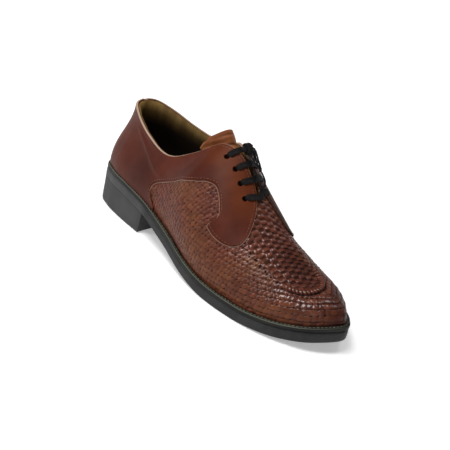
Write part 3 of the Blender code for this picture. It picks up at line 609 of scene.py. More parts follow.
def sewSeam(side, columns, seam, away, lift, depth, shade):
    # apron seam: a plain ridge along the sides, a whipped roll around the front
    half = apronSeam["half"]
    run = lengthAlong(surface(side, np.maximum(columns, apronSeam["from"]), seam)[::-1])[::-1][:, None]
    rope = ramp(columns, *apronSeam["rope"])[:, None]
    plain = ramp(columns, *apronSeam["fade"])[:, None] * (1 - rope)
    along = run / apronSeam["sideHole"]
    along = (along - np.floor(along) - 0.5) * apronSeam["sideHole"]
    long, wide = apronSeam["holeSize"]
    hole = bell(along, long) * bell(away + apronSeam["holeOut"], wide) * plain
    lift = lift + apronSeam["sideRise"] * bell(away, half) * plain - apronSeam["holeDeep"] * hole
    # painted shade in the holes
    depth = depth * (1 - 0.9 * hole)
    near = np.clip(1 - (away / half)**2, 0.0, 1.0)
    phase = side * run / apronSeam["stitch"] + apronSeam["slant"] * away / half / 2
    turn = phase - np.floor(phase) - 0.5
    strand = np.sqrt(np.maximum(0.0, 1 - (np.abs(turn) / apronSeam["strand"])**2.5))
    between = apronSeam["between"]
    roll = apronSeam["rise"] * np.sqrt(near) * (between + (1 - between) * strand)
    onSeam = (near > 0) * rope
    lift = lift * (1 - onSeam) + onSeam * np.maximum(roll - apronSeam["sunk"], apronSeam["deepest"])
    # painted shade between the roll's strands
    depth = depth * (1 - onSeam) + onSeam * np.clip(0.1 + 0.9 * strand * near**0.4, 0, 1)
    shade = np.where(onSeam > 0.5, 0.2 + 0.8 * steadyRandom(np.floor(phase), 9.0), shade)
    # painted shade in the groove outside the roll
    groove = bell(away + half + apronSeam["grooveOut"], apronSeam["grooveWide"]) * rope
    return lift - apronSeam["groove"] * groove, depth * (1 - 0.55 * groove), shade


def upperSide(side, columns, rows):
    # one side's grid: outer and inner points, and the paint; more rows lie where the weave is bare
    bareAt, bareTop, bareRow = weave["bare"]
    top = np.interp(columns, bareAt, bareTop)[:, None]
    turn = np.interp(columns, bareAt, bareRow)[:, None]
    share = rows[None, :]
    above = top + (share - turn) / np.maximum(1 - turn, 1e-6) * (1 - top)
    v = np.clip(np.where(share < turn, share / turn * top, above), 0.0, 1.0)
    w = columns[:, None] * np.ones_like(v)
    base, normal = surface(side, w, v), normalAt(side, w, v)
    x, y = base[..., 0], base[..., 1]
    up = lengthAlong(base.transpose(1, 0, 2)).T
    seam = apronHeight(side, columns)
    away = up - np.array([np.interp(s, line, height) for s, line, height in zip(seam, v, up)])[:, None]

    raised = np.maximum(*[ramp(w, *stations) * ramp(v, *heights) for stations, heights in weave["raised"]])
    skirt, skirtShade = skirtWeave(side, columns, up)
    skirt = skirt * (weave["sideRelief"] + (1 - weave["sideRelief"]) * raised)
    apron, apronShade = apronWeave(base)
    inside = (away > 0) & (w > apronSeam["fade"][0] - apronSeam["under"])
    relief = np.where(inside, apron, skirt)
    shade = np.where(inside, apronShade, skirtShade)

    # painted shade: in the deep gaps, over a patch of the apron and on the toe's inner side, with fewer
    # glints there; the toe's lowest rows get less shade in their gaps and a darker tone
    lowest = -2 * weave["wave"] - weave["crown"] - weave["gap"]
    dark = np.ones_like(x)
    for value, at, wide in zip((x, y), weave["apronShadeAt"], weave["apronShadeWide"]):
        dark = dark * bell(value - at, wide)
    # painted shade on the toe's inner side
    inner = ramp(base[..., :2] @ np.array(weave["toePaintedShadeWay"]), *weave["toePaintedShadeFrom"])
    inner = inner * ramp(x, *weave["toePaintedShadeX"])
    foot = ramp(w, *weave["toeFootAt"][0]) * (1 - ramp(v, *weave["toeFootAt"][1]))
    depth = np.clip(1 - relief / lowest, 0, 1) * (1 - 0.2 * dark)
    depth = depth + (1 - depth) * weave["toeFoot"] * foot
    shade = shade - weave["dark"] * dark - weave["toePaintedShade"] * inner - weave["toeFootDark"] * foot
    gloss = np.where(inside, 1.0, weave["sideGloss"] + (1 - weave["sideGloss"]) * raised)
    gloss = gloss * (1 - 0.9 * dark) * (1 - 0.6 * inner)
    lift, depth, shade = sewSeam(side, columns, seam, away, relief + weave["top"], depth, shade)

    # hollow behind the front of the seam; the wall follows it
    front = bell(x - (apronSeam["front"] - apronSeam["dentBehind"]), apronSeam["dentLong"])
    middle = bell(y - ridgeY(x) + apronSeam["shift"], apronSeam["dentWide"])
    dent = apronSeam["dent"] * front * middle * ramp(away, 0.0, apronSeam["half"])
    base = base - dent[..., None] * normal
    return base + lift[..., None] * normal, base - weave["wall"] * normal, depth, shade, gloss


def makeUpper(materials):
    every = weave["liningEvery"]
    rear = np.linspace(0.0, weave["fineFrom"], weave["rearColumns"] + 1)[:-1]
    columns = np.concatenate([rear, np.linspace(weave["fineFrom"], 1.0, weave["columns"])])
    throat = np.argmin(np.abs(columns - lastForm["throat"]))
    throat -= throat % every
    columns[throat] = lastForm["throat"]
    rows = np.linspace(0.0, 1.0, weave["rows"] + 1)

    points, faces, paint = [], [], []
    attributes = {"depth": [], "shade": [], "gloss": []}
    number = {}
    total = 0
    for side in (lateral, medial):
        outer, inner, *values = upperSide(side, columns, rows)
        plain = [np.full(inner[::every, ::every, 0].shape, value) for value in (1.0, 0.5, 0.0)]
        for kind, grid, looks in ((0, outer, values), (1, inner[::every, ::every], plain)):
            number[side, kind] = gridNumber(*grid.shape[:2], total)
            total += number[side, kind].size
            points.append(grid.reshape(-1, 3))
            for title, value in zip(attributes, looks):
                attributes[title].append(value.ravel())
    points = np.concatenate(points)

    # both sides share the heel back, the toe tip and the ridge ahead of the throat
    same = np.arange(total)
    for kind, last in ((0, throat), (1, throat // every)):
        for part in (np.s_[0], np.s_[-1], np.s_[last:-1, -1]):
            keep, drop = number[lateral, kind][part], number[medial, kind][part]
            points[keep] = (points[keep] + points[drop]) / 2
            same[drop] = keep
    for side in (lateral, medial):
        outer, inner = number[side, 0], number[side, 1]
        for kind, grid in enumerate((outer, inner)):
            cells = np.stack([grid[:-1, :-1], grid[1:, :-1], grid[1:, 1:], grid[:-1, 1:]], -1).reshape(-1, 4)
            cells = cells if (side == lateral) == (kind == 0) else cells[:, ::-1]
            faces += cells.tolist()
            paint += [kind] * len(cells)
        for row, last in ((0, len(columns) - 1), (-1, throat)):
            for c in range(0, last, every):
                edge = outer[c:c + every + 1, row].tolist()
                faces.append(edge + [inner[c // every + 1, row], inner[c // every, row]])
                paint.append(1)
    faces = [list(dict.fromkeys(same[f].tolist())) for f in faces]
    kept = [k for k, f in enumerate(faces) if len(f) > 2]
    used = np.unique(np.concatenate([faces[k] for k in kept]))
    fresh = np.full(total, -1)
    fresh[used] = np.arange(len(used))
    attributes = {title: np.concatenate(values)[used] for title, values in attributes.items()}
    return addPiece("wovenUpper", points[used], [fresh[faces[k]].tolist() for k in kept], materials,
                    [paint[k] for k in kept], attributes)


def wovenLook(tone):
    depth, shade, gloss = [tone.attribute(name) for name in ("depth", "shade", "gloss")]
    cloud = tone.noise(30.0, 4.0)
    hue = tone.noise(26.0, 3.0).between(0.38, 0.66)
    pale = (shade * (0.30 + 0.30 * gloss) + cloud * 0.6 + 0.1).between(0.0, 1.0)
    dark, red, brown = weave["colours"]
    # painted shade: the deeper a point lies, the nearer it comes to the gap colour
    colour = depth.between(0.28, 0.82).mix(weave["gapShadeColour"], pale.mix(dark, hue.mix(red, brown)))
    rough = 0.34 + 0.20 * cloud + 0.30 * (1 - depth)
    coat = depth.between(0.55, 0.95) * gloss * weave["coat"]
    return {"Base Color": colour, "Roughness": rough, "Coat Weight": coat,
            "Normal": tone.bump(tone.noise(900.0), 0.25, 0.0004)}


def liningLook(tone):
    cloud = tone.noise(22.0, 4.0)
    drawn = tone.node("ShaderNodeMapping", {}, {"Vector": tone.place(), "Scale": (1.0, 1.0, 0.2)})
    streak = tone.noise(75.0, where=drawn)
    olive = (cloud * 0.5 + streak * 0.5).between(0.35, 0.65).mix(*weave["lining"])
    # painted shade: the lining darkens deep inside the shoe
    colour = tone.axis("Z").between(*weave["liningShadeHeights"]).mix(weave["liningShade"], olive)
    return {"Base Color": colour, "Roughness": 0.55 + 0.25 * cloud,
            "Normal": tone.bump(tone.noise(700.0), 0.3, 0.0004)}


wovenLeather = makeMaterial("wovenLeather", 0.10, wovenLook, {"Coat Roughness": 0.12})
liningLeather = makeMaterial("liningLeather", 0.1, liningLook)
upper = makeUpper([wovenLeather, liningLeather])
print("upper", len(upper.data.polygons))

# Smooth quarters: counter, collar band and facing lobe; rows count along the outer edge
quarter = {
    "wall": 1.4, "clear": 0.4,
    "rowSteps": 9, "across": 34,
    "window": (7.0, 8.5), "facing": (15.5, 17.0),          # rows where these edges begin
    "collarEnd": (18.0, 19.5),
    "paleCut": 0.55,                    # how pale the cut edge is beside the woven side: its own colour and a painted highlight on its shaded wall
    "paleRim": {lateral: (0.75, 1.0, 1.0, 0.0, 0.0, 0.0), medial: (0.75, 1.0, 1.0, 0.7, 0.0, 0.0)},
    "collarShape": ((0.45, 1.65), (0.78, 1.10), (0.88, 0.45), (0.78, -0.25), (0.45, -0.75), (0.18, -0.95)),
    "plainShape": ((0.28, 1.68), (0.46, 1.40), (0.52, 1.10), (0.46, 0.80), (0.28, 0.52), (0.10, 0.42)),
    "heelBack": 0.15,                   # the two quarters meet there with a flat rim
    "ridge": 1.1, "ridgeWide": 5.0,     # soft edge of the counter stiffener
    "ridgeRun": 200.0,                  # mm across that slanting edge for one whole w
    "ridgeLine": (
        (0.55, 0.61, 0.69, 0.77, 0.83, 0.886, 0.924),      # its heights and stations
        (0.318, 0.302, 0.273, 0.241, 0.210, 0.180, 0.150)),
    "ridgeFrom": (0.56, 0.68), "ridgeTo": (0.88, 0.94),
    "counterShade": 0.42, "counterShadeAt": (0.225, 0.48), "counterShadeWide": 21.0,      # painted shade on the counter
    "warmAndLitWide": 15.0,                   # warmer leather and painted light around the lateral lace holes
    "facingShadow": (1.0, 5.0),           # painted shadow along the far facing's edge, full and none
    "pared": 1.0, "paredWide": 3.0,     # the edge towards the woven side is pared thin
    "hole": 4.6, "punch": 6.0,          # punched lace holes, and the punch's reach to both sides
    "colours": ((0.052, 0.009, 0.0045), (0.108, 0.024, 0.012)), "warmAndLitColour": (0.122, 0.028, 0.008),
    # painted shade and shadow take this colour
    "shadeColour": (0.016, 0.006, 0.006), "cutColour": (0.460, 0.320, 0.235),
}
quarterRear = (
    # collar and facing edge; welt line, rear and top of the woven side
    (0, 0.0008, 1.000, 0.0006, 0.070),
    (1, 0.018, 1.000, 0.030, 0.070),
    (2, 0.036, 1.000, 0.060, 0.070),
    (3, 0.056, 1.000, 0.095, 0.070),
    (4, 0.078, 1.000, 0.140, 0.070),
    (5, 0.105, 1.000, 0.195, 0.070),
    (6, 0.135, 1.000, 0.260, 0.070),
    (7, 0.170, 1.000, 0.328, 0.070),
    (8, 0.205, 1.000, 0.305, 0.205),
    (9, 0.235, 1.000, 0.295, 0.335),
    (10, 0.265, 1.000, 0.302, 0.447),
    (11, 0.305, 1.000, 0.320, 0.522),
    (12, 0.345, 1.000, 0.354, 0.572),
    (13, 0.390, 1.000, 0.399, 0.580),
    (14, 0.430, 1.000, 0.448, 0.566),
    (15, 0.460, 1.000, 0.487, 0.618),
    (16, 0.488, 1.000, 0.512, 0.684),
    (17, 0.515, 1.000, 0.540, 0.732),
    (18, 0.545, 1.000, 0.567, 0.710),
)
quarterLobe = {
    lateral: (
        (19, 0.568, 0.998, 0.590, 0.655),
        (20, 0.586, 0.983, 0.605, 0.605),
        (21, 0.607, 0.951, 0.608, 0.545),
        (22, 0.631, 0.903, 0.603, 0.475),
        (23, 0.649, 0.855, 0.615, 0.458),
        (24, 0.666, 0.795, 0.634, 0.460),
        (25, 0.681, 0.733, 0.656, 0.481),
        (26, 0.690, 0.668, 0.675, 0.518),
        (27, 0.693, 0.620, 0.687, 0.560),
    ),
    medial: (
        (19, 0.568, 0.985, 0.590, 0.655),
        (20, 0.587, 0.935, 0.605, 0.605),
        (21, 0.607, 0.860, 0.608, 0.545),
        (22, 0.631, 0.812, 0.603, 0.475),
        (23, 0.649, 0.773, 0.615, 0.458),
        (24, 0.664, 0.744, 0.632, 0.460),
        (25, 0.677, 0.718, 0.650, 0.480),
        (26, 0.682, 0.668, 0.665, 0.512),
        (27, 0.681, 0.618, 0.675, 0.555),
    ),
}
lastRow = 27.0
quarterRows = {
    side: Sections("row outerW outerV innerW innerV", quarterRear + lobe)
    for side, lobe in quarterLobe.items()}
eyelets = {
    lateral: ((0.483, 0.914), (0.526, 0.914), (0.564, 0.900), (0.600, 0.862)),
    medial: ((0.474, 0.905), (0.516, 0.905), (0.553, 0.895), (0.588, 0.862)),
}


def quarterAt(side, row, share):
    edges = quarterRows[side]
    w = edges.read("outerW", row) * (1 - share) + edges.read("innerW", row) * share
    v = edges.read("outerV", row) * (1 - share) + edges.read("innerV", row) * share
    return w, np.minimum(v, 1.0)


def counterRidge(w, v):
    # edge of the stiffener, from the collar down to the woven side
    reach = (w - np.interp(v, *quarter["ridgeLine"])) * quarter["ridgeRun"]
    shown = ramp(v, *quarter["ridgeFrom"]) * (1 - ramp(v, *quarter["ridgeTo"]))
    return quarter["ridge"] * bell(reach, quarter["ridgeWide"]) * shown


def makeQuarter(name, side, leather):
    rows = np.linspace(0.0, lastRow, int(lastRow) * quarter["rowSteps"] + 1)
    share = np.linspace(0.0, 1.0, quarter["across"] + 1)
    w, v = quarterAt(side, rows[:, None], share[None, :])
    n, m = w.shape
    base, normal = surface(side, w, v), normalAt(side, w, v)
    fromEdge = np.linalg.norm(base - base[:, -1:], axis=-1)
    thinned = (1 - ramp(fromEdge, 0.0, quarter["paredWide"])) * ramp(rows, *quarter["window"])[:, None]
    lift = quarter["clear"] + quarter["wall"] - quarter["pared"] * thinned + counterRidge(w, v)
    outer = base + lift[..., None] * normal
    inner = base + quarter["clear"] * normal

    # the edge as one loop: collar and facing, lobe end, window and welt line, heel back
    r, c = rimOrder(n, m)
    loop, facing, place = base[r, c], normal[r, c], rows[r]
    out = np.cross(np.roll(loop, -1, axis=0) - np.roll(loop, 1, axis=0), facing) * side
    out /= np.linalg.norm(out, axis=1, keepdims=True) + 1e-9
    onOuter = c == 0
    inWindow, onFacing = ramp(place, *quarter["window"]), ramp(place, *quarter["facing"])
    collar = np.where(onOuter, 1 - ramp(place, *quarter["collarEnd"]), 0.0)[:, None]
    back = np.where(place < 0.5, quarter["heelBack"], 1.0)[:, None]
    thin = (quarter["pared"] * np.where(onOuter, 0.0, inWindow))[:, None]
    # painted shadow: on the far facing the cut edge keeps the dark leather colour
    paleOuter = 1.0 if side == lateral else 1 - 0.85 * onFacing
    rim, raw = [], []
    shapes = zip(quarter["collarShape"], quarter["plainShape"], quarter["paleRim"][side])
    for (collarOut, collarLift), (plainOut, plainLift), pale in shapes:
        reach = (collarOut * collar + plainOut * (1 - collar)) * back
        foot = quarter["plainShape"][-1][1]
        plain = foot + (plainLift - foot) * (1 - thin / quarter["wall"])
        rim.append(loop + out * reach + facing * (collarLift * collar + plain * (1 - collar)))
        # the cut edge beside the woven side: its own colour with a painted highlight
        raw.append(np.where(onOuter, paleOuter * pale, quarter["paleCut"] * inWindow))
    points, faces = shell(outer, inner, rim, r, c)
    start = 2 * n * m
    edge = np.zeros(len(points))
    edge[start:] = np.concatenate(raw)
    # warmer leather and painted light around the lace holes, on the lit lateral side only
    warm = np.zeros(len(points))
    for hole in eyelets[side] if side == lateral else ():
        reach = np.linalg.norm(points - surface(side, *hole), axis=1)
        warm = np.maximum(warm, bell(reach, quarter["warmAndLitWide"]))
    # painted shade on the counter
    reach = np.linalg.norm(points - surface(side, *quarter["counterShadeAt"]), axis=1)
    dark = quarter["counterShade"] * bell(reach, quarter["counterShadeWide"])
    # painted shadow along the far facing's edge, on its face and its rim
    if side == medial:
        toEdge = np.linalg.norm(base - base[:, :1], axis=-1)
        strip = (1 - ramp(toEdge, *quarter["facingShadow"])) * ramp(rows, *quarter["facing"])[:, None]
        dark[:n * m] += strip.ravel()
        dark[start:] += np.tile(np.where(onOuter, onFacing, 0.0), len(rim))
    return addPiece(name, points, faces, [leather], None, {"edge": edge, "warm": warm, "dark": dark})


def smoothLook(tone):
    edge, warm, dark = [tone.attribute(name) for name in ("edge", "warm", "dark")]
    cloud = tone.noise(16.0, 4.0)
    small = tone.noise(75.0)
    body = (cloud * 0.7 + small * 0.3).between(0.3, 0.75).mix(*quarter["colours"])
    # warmer leather and painted light around the lace holes
    body = (warm * small.between(0.2, 0.6, 0.7, 1.0)).mix(body, quarter["warmAndLitColour"])
    # painted shade and shadow, then the pale cut edge
    colour = edge.mix(dark.mix(body, quarter["shadeColour"]), quarter["cutColour"])
    rough = 0.36 + 0.20 * cloud + 0.2 * edge
    height = tone.grain(1500.0).between(0.0, 0.25) * 0.5 + tone.noise(500.0) * 0.5
    return {"Base Color": colour, "Roughness": rough, "Normal": tone.bump(height, 0.12, 0.0003)}


smoothLeather = makeMaterial("smoothLeather", 0.09, smoothLook)
quarters = {side: makeQuarter(f"{sideName[side]}Quarter", side, smoothLeather) for side in (lateral, medial)}


def punchHoles(made, side):
    # four lace holes through a finished wall
    turns = np.radians(np.arange(0, 360, 15))[:, None]
    points, faces = [], []
    for w, v in eyelets[side]:
        normal = normalAt(side, w, v)
        across = unit(np.cross(normal, (1.0, 0.0, 0.0)))
        spokes = across * np.cos(turns) + np.cross(normal, across) * np.sin(turns)
        number = gridNumber(2, len(turns), len(points))
        faces += quads(number, True) + number.tolist()
        for depth in (-quarter["punch"], quarter["punch"]):
            points += list(surface(side, w, v) + depth * normal + quarter["hole"] / 2 * spokes)
    cutter = addPiece("punch", np.array(points), faces, [])
    cutter.data.shade_flat()
    cut = made.modifiers.new("holes", "BOOLEAN")
    cut.operation = "DIFFERENCE"
    cut.object = cutter
    settle(made)
    bpy.data.objects.remove(cutter)


for side in (lateral, medial):
    punchHoles(quarters[side], side)
    punchHoles(upper, side)
finishPiece(upper, "woven_leather", "upper")
for side in (lateral, medial):
    finishPiece(quarters[side], "smooth_leather", f"quarter_{sideName[side]}")

# Stitches along a route: short rounded lengths of thread, laid by Geometry Nodes
stitching = {
    "quarter": {"pitch": 2.9, "length": 2.3, "thick": 0.55, "inset": 2.3, "seed": 3},
    "welt": {"pitch": 3.3, "length": 2.6, "thick": 0.8, "seed": 5},
    "vary": (0.85, 1.05),               # sizes of single stitches
    "window": (7.4, 26.2), "facing": (14.0, 26.2),         # rows of the quarter from and to which they run
    "quarterColours": ((0.110, 0.040, 0.020), (0.210, 0.095, 0.055)),
    "weltColours": ((0.090, 0.088, 0.060), (0.190, 0.180, 0.125)),
}


def makeStitchTree(thread):
    tree = bpy.data.node_groups.new("stitchRow", "GeometryNodeTree")
    kinds = {"Geometry": "Geometry", "Pitch": "Float", "Length": "Float", "Thick": "Float", "Seed": "Int"}
    for name, kind in kinds.items():
        tree.interface.new_socket(name, in_out="INPUT", socket_type="NodeSocket" + kind)
    tree.interface.new_socket("Geometry", in_out="OUTPUT", socket_type="NodeSocketGeometry")
    tone = Tone(tree)
    given = tone.node("NodeGroupInput")
    pitch, length, thick, seed = [given.output(name) for name in ("Pitch", "Length", "Thick", "Seed")]
    curve = tone.node("GeometryNodeMeshToCurve", {}, {"Mesh": given})
    points = tone.node("GeometryNodeCurveToPoints", {"mode": "LENGTH"}, {"Curve": curve, "Length": pitch})
    ball = tone.node("GeometryNodeMeshUVSphere", {}, {"Segments": 8, "Rings": 5, "Radius": 0.5})
    sizes = tone.node("ShaderNodeCombineXYZ", {}, {"X": length, "Y": thick, "Z": thick})
    shape = tone.node("GeometryNodeTransform", {}, {"Geometry": ball, "Scale": sizes})
    turn = tone.node("FunctionNodeAlignRotationToVector", {"axis": "X"}, {"Vector": points.output("Tangent")})
    low, high = stitching["vary"]
    vary = tone.node("FunctionNodeRandomValue", {"data_type": "FLOAT"}, {2: low, 3: high, "Seed": seed}, 1)
    lay = tone.node("GeometryNodeInstanceOnPoints", {}, {
        "Points": points, "Instance": shape, "Rotation": turn, "Scale": vary})
    real = tone.node("GeometryNodeRealizeInstances", {}, {"Geometry": lay})
    paint = tone.node("GeometryNodeSetMaterial", {}, {"Geometry": real, "Material": thread})
    tree.links.new(paint.socket, tree.nodes.new("NodeGroupOutput").inputs["Geometry"])
    return tree


def makeStitches(name, routes, sizes, thread):
    # routes in millimetres; each is (points, closed)
    vertices, edges = [], []
    for route, closed in routes:
        first = len(vertices)
        vertices += toFrame(route).tolist()
        edges += [(first + k, first + k + 1) for k in range(len(route) - 1)]
        if closed:
            edges.append((len(vertices) - 1, first))
    data = bpy.data.meshes.new(name)
    data.from_pydata(vertices, edges, [])
    made = addObject(name, data)
    rows = made.modifiers.new("stitches", "NODES")
    rows.node_group = makeStitchTree(thread)
    inputs = {"Pitch": mm, "Length": mm, "Thick": mm, "Seed": 1}       # and their units
    for item in rows.node_group.interface.items_tree:
        if item.in_out == "INPUT" and item.name in inputs:
            rows[item.identifier] = sizes[item.name.lower()] * inputs[item.name]
    settle(made)
    made.data.shade_smooth()
    return made


def quarterStitchRoute(side, first, last, outerEdge):
    # a row of stitches inside one edge of the quarter
    inset = stitching["quarter"]["inset"]
    pared = 0.0 if outerEdge else quarter["pared"] * (1 - ramp(inset, 0.0, quarter["paredWide"]))
    share = np.linspace(0.0, 1.0, 60)
    route = []
    for row in np.linspace(first, last, 160):
        line = surface(side, *quarterAt(side, row, share if outerEdge else 1 - share))
        place = np.interp(inset, lengthAlong(line), share)
        w, v = quarterAt(side, row, place if outerEdge else 1 - place)
        route.append(skin(side, w, v, quarter["clear"] + quarter["wall"] - pared))
    return np.array(route)


quarterThread = makeMaterial("quarterThread", 0.2, mottled(
    *stitching["quarterColours"], 400.0, 0.5, 2.0, (0.3, 0.7)))
weltThread = makeMaterial("weltThread", 0.2, mottled(
    *stitching["weltColours"], 300.0, 0.6, 2.0, (0.3, 0.7)))
for side in (lateral, medial):
    routes = [(quarterStitchRoute(side, *stitching["window"], False), False),
              (quarterStitchRoute(side, *stitching["facing"], True), False)]
    stitches = makeStitches(f"{sideName[side]}Stitches", routes, stitching["quarter"], quarterThread)
    finishPiece(stitches, "smooth_leather")

# Sole: outsole, heel block, welt and insole; sides are rows of height and inset
sole = {
    "stations": 300,
    "side": (
        (0.00, 1.6), (0.03, 0.9), (0.08, 0.45), (0.14, 0.25), (0.30, 0.18), (0.50, 0.15),
        (0.70, 0.18), (0.84, 0.28), (0.90, 0.50), (0.96, 0.95), (1.00, 1.3)),
    "heelLength": 77.0, "heelTaper": 0.965, "heelInset": 0.4, "breastHollow": 3.0,
    "heelSide": ((0.0, 0.9), (0.02, 0.35), (0.06, 0.05), (0.14, 0.0), (0.6, 0.0), (1.0, 0.0)),
    "flush": (-4.0, 10.0),              # from the heel's breast: where the outsole is no longer flush with it
    "weltThick": 3.2, "weltClear": 0.45, "weltReach": 0.2, "weltGroove": 0.40,
    "rimFade": (0.90, 0.99), "rimShade": 0.75,      # the welt's pale line is painted over with shade towards the toe
    "insoleStations": 160,
    "insoleSide": ((0.0, 0.5), (0.6, 0.0), (2.4, 0.0), (3.0, 0.6)),    # in mm
    "grey": ((0.014, 0.014, 0.015), (0.032, 0.033, 0.032)),
    "heelGrey": ((0.036, 0.036, 0.037), (0.064, 0.064, 0.064)),
    "weltGrey": ((0.006, 0.006, 0.006), (0.016, 0.017, 0.014)), "rimColour": (0.165, 0.168, 0.130),
    "insoleColours": ((0.052, 0.033, 0.014), (0.100, 0.066, 0.030)),
}


def makePlate(name, rings, paint, sharp):
    # stacked loops; strips across close them, lateral point to the medial point of the same station
    number = gridNumber(len(rings), len(rings[0]))
    faces = quads(number, True)
    for end in number[[0, -1]].tolist():
        for k in range(len(end) // 2):
            faces.append(list(dict.fromkeys((end[k], end[k + 1], end[-k - 1], end[-k]))))
    return addPiece(name, np.concatenate(rings), faces, [paint], sharp=sharp)


def rubberLook(tone):
    cloud = tone.noise(30.0, 4.0)
    dust = tone.noise(160.0)
    shade = (cloud * 0.6 + dust * 0.4).between(0.3, 0.75)
    overHeel = tone.axis("X").between(-0.072, -0.060, 1.0, 0.0)
    colour = overHeel.mix(shade.mix(*sole["grey"]), shade.mix(*sole["heelGrey"]))
    return {"Base Color": colour, "Roughness": 0.45 + 0.25 * dust,
            "Normal": tone.bump(tone.noise(1400.0), 0.2, 0.0003)}


def weltLook(tone):
    made = mottled(*sole["weltGrey"], 60.0, 0.42, 4.0, (0.3, 0.7), (900.0, 0.2, 0.0003))(tone)
    made["Base Color"] = tone.attribute("rim").mix(made["Base Color"], sole["rimColour"])
    return made


soleRubber = makeMaterial("soleRubber", 0.22, rubberLook)
heelRubber = makeMaterial("heelRubber", 0.15, mottled(
    *sole["heelGrey"], 24.0, 0.5, relief=(1200.0, 0.2, 0.0003)))
weltRubber = makeMaterial("weltRubber", 0.15, weltLook)
insoleLeather = makeMaterial("insoleLeather", 0.2, mottled(
    *sole["insoleColours"], 28.0, 0.55, relief=(800.0, 0.3, 0.0004)))


def makeOutsole():
    rings = []
    for height, inset in sole["side"]:
        plan = edgePlan(sole["stations"], inset=inset)
        if height < 0.5:
            # flush with the heel block, so that both look like one
            flush = edgePlan(sole["stations"], inset=min(inset, sole["heelInset"]))
            start, end = sole["flush"]
            overHeel = 1 - ramp(plan[:, 2], sole["heelLength"] + start, sole["heelLength"] + end)
            plan = plan + (flush - plan) * overHeel[:, None]
        low, high = soleBottom(plan[:, 2]), soleTop(plan[:, 2])
        rings.append(np.column_stack([plan[:, 0], plan[:, 1], low + (high - low) * height]))
    return makePlate("rubberOutsole", rings, soleRubber, 40)


def makeWelt():
    # a ledge with a rounded edge, a pale line on it and a groove for the stitches
    rings, rims, stitchLine = [], [], []
    thick = sole["weltThick"]
    for w, side in edgePlan(sole["stations"])[:, 3:5]:
        fx, fy = feather(int(side), w)
        nx, ny = outward(int(side), w)
        base = float(soleTop(fx)) + lastForm["gap"]
        wide = float(ledgeRows.read("width", w))
        wall = surface(int(side), w, np.linspace(0.0, sole["weltReach"], 41))
        lean = np.interp(base + thick, wall[:, 2], (wall[:, 0] - fx) * nx + (wall[:, 1] - fy) * ny)
        inner = max(float(lean), 0.0) + sole["weltClear"]
        groove = inner + sole["weltGroove"] * (wide - inner)
        profile = (                     # out, up and how pale
            (sole["weltClear"], 0.0, 0.0), (wide - 0.9, 0.0, 0.0), (wide - 0.35, 0.15, 0.0),
            (wide - 0.05, 0.6, 0.0), (wide, 1.2, 0.0), (wide - 0.02, thick - 1.1, 0.0),
            (wide - 0.12, thick - 0.5, 0.15), (wide - 0.40, thick - 0.12, 1.0), (wide - 0.75, thick, 0.15),
            (groove + 0.75, thick, 0.0), (groove + 0.4, thick - 0.35, 0.0), (groove, thick - 0.5, 0.0),
            (groove - 0.4, thick - 0.35, 0.0), (groove - 0.75, thick, 0.0), (inner, thick - 0.1, 0.0))
        # painted shade over the welt's pale line towards the toe
        faded = 1 - sole["rimShade"] * float(ramp(w, *sole["rimFade"]))
        rings.append([(fx + nx * out, fy + ny * out, base + rise) for out, rise, _ in profile])
        rims.append([pale * faded for _, _, pale in profile])
        stitchLine.append((fx + nx * groove, fy + ny * groove, base + thick - 0.2))
    rings = np.array(rings)
    number = gridNumber(*rings.shape[:2]).T
    faces = quads(np.concatenate([number, number[:1]]), True)
    stitches = makeStitches("weltStitches", [(stitchLine, True)], stitching["welt"], weltThread)
    finishPiece(stitches, "welt_rubber")
    rim = {"rim": np.ravel(rims)}
    return addPiece("stitchedWelt", rings.reshape(-1, 3), faces, [weltRubber], None, rim, sharp=50)


def heelPlan(inset):
    stations = np.linspace(0.0, 0.45, 160)
    front = sole["heelLength"] - inset
    edges = {}
    for side in (lateral, medial):
        x, y = feather(side, stations)
        nx, ny = outward(side, stations)
        out = ledgeRows.read("width", stations) - sole["heelInset"] - inset
        px, py = x + nx * out, y + ny * out
        keep = px < sole["heelLength"] - 1.5       # no point this near to the breast
        edges[side] = list(zip(px[keep], py[keep])) + [(front, np.interp(front, px, py))]
    left, right = edges[lateral], edges[medial]
    middle, half = (right[-1][1] + left[-1][1]) / 2, (right[-1][1] - left[-1][1]) / 2
    across = np.linspace(-1.0, 1.0, 31)[1:-1]
    breast = [(front - sole["breastHollow"] * (1 - t * t), middle + half * t) for t in across]
    return np.array(left + breast + right[:0:-1])


def makeHeel():
    centre = sole["heelLength"] / 2
    top = soleBottom(heelPlan(0.0)[:, 0]) - lastForm["gap"]
    rings = []
    for height, inset in sole["heelSide"]:
        plan = heelPlan(inset)
        taper = sole["heelTaper"] + (1 - sole["heelTaper"]) * height
        x = centre + (plan[:, 0] - centre) * taper
        rings.append(np.column_stack([x, plan[:, 1] * taper, top * height]))
    number = gridNumber(len(rings), len(top))
    faces = quads(number, True) + number[[0, -1]].tolist()
    return addPiece("heelBlock", np.concatenate(rings), faces, [heelRubber], sharp=35)


def makeInsole():
    rings = []
    clear = weave["wall"] + 2 * lastForm["gap"]
    for rise, inset in sole["insoleSide"]:
        plan = edgePlan(sole["insoleStations"], 0.0, clear + inset)
        rings.append(np.column_stack([plan[:, 0], plan[:, 1], soleTop(plan[:, 2]) + lastForm["gap"] + rise]))
    return makePlate("leatherInsole", rings, insoleLeather, 50)


finishPiece(makeOutsole(), "sole_rubber", "outsole")
finishPiece(makeWelt(), "welt_rubber", "welt")
finishPiece(makeHeel(), "heel_rubber", "heel")
finishPiece(makeInsole(), "insole_leather", "insole")

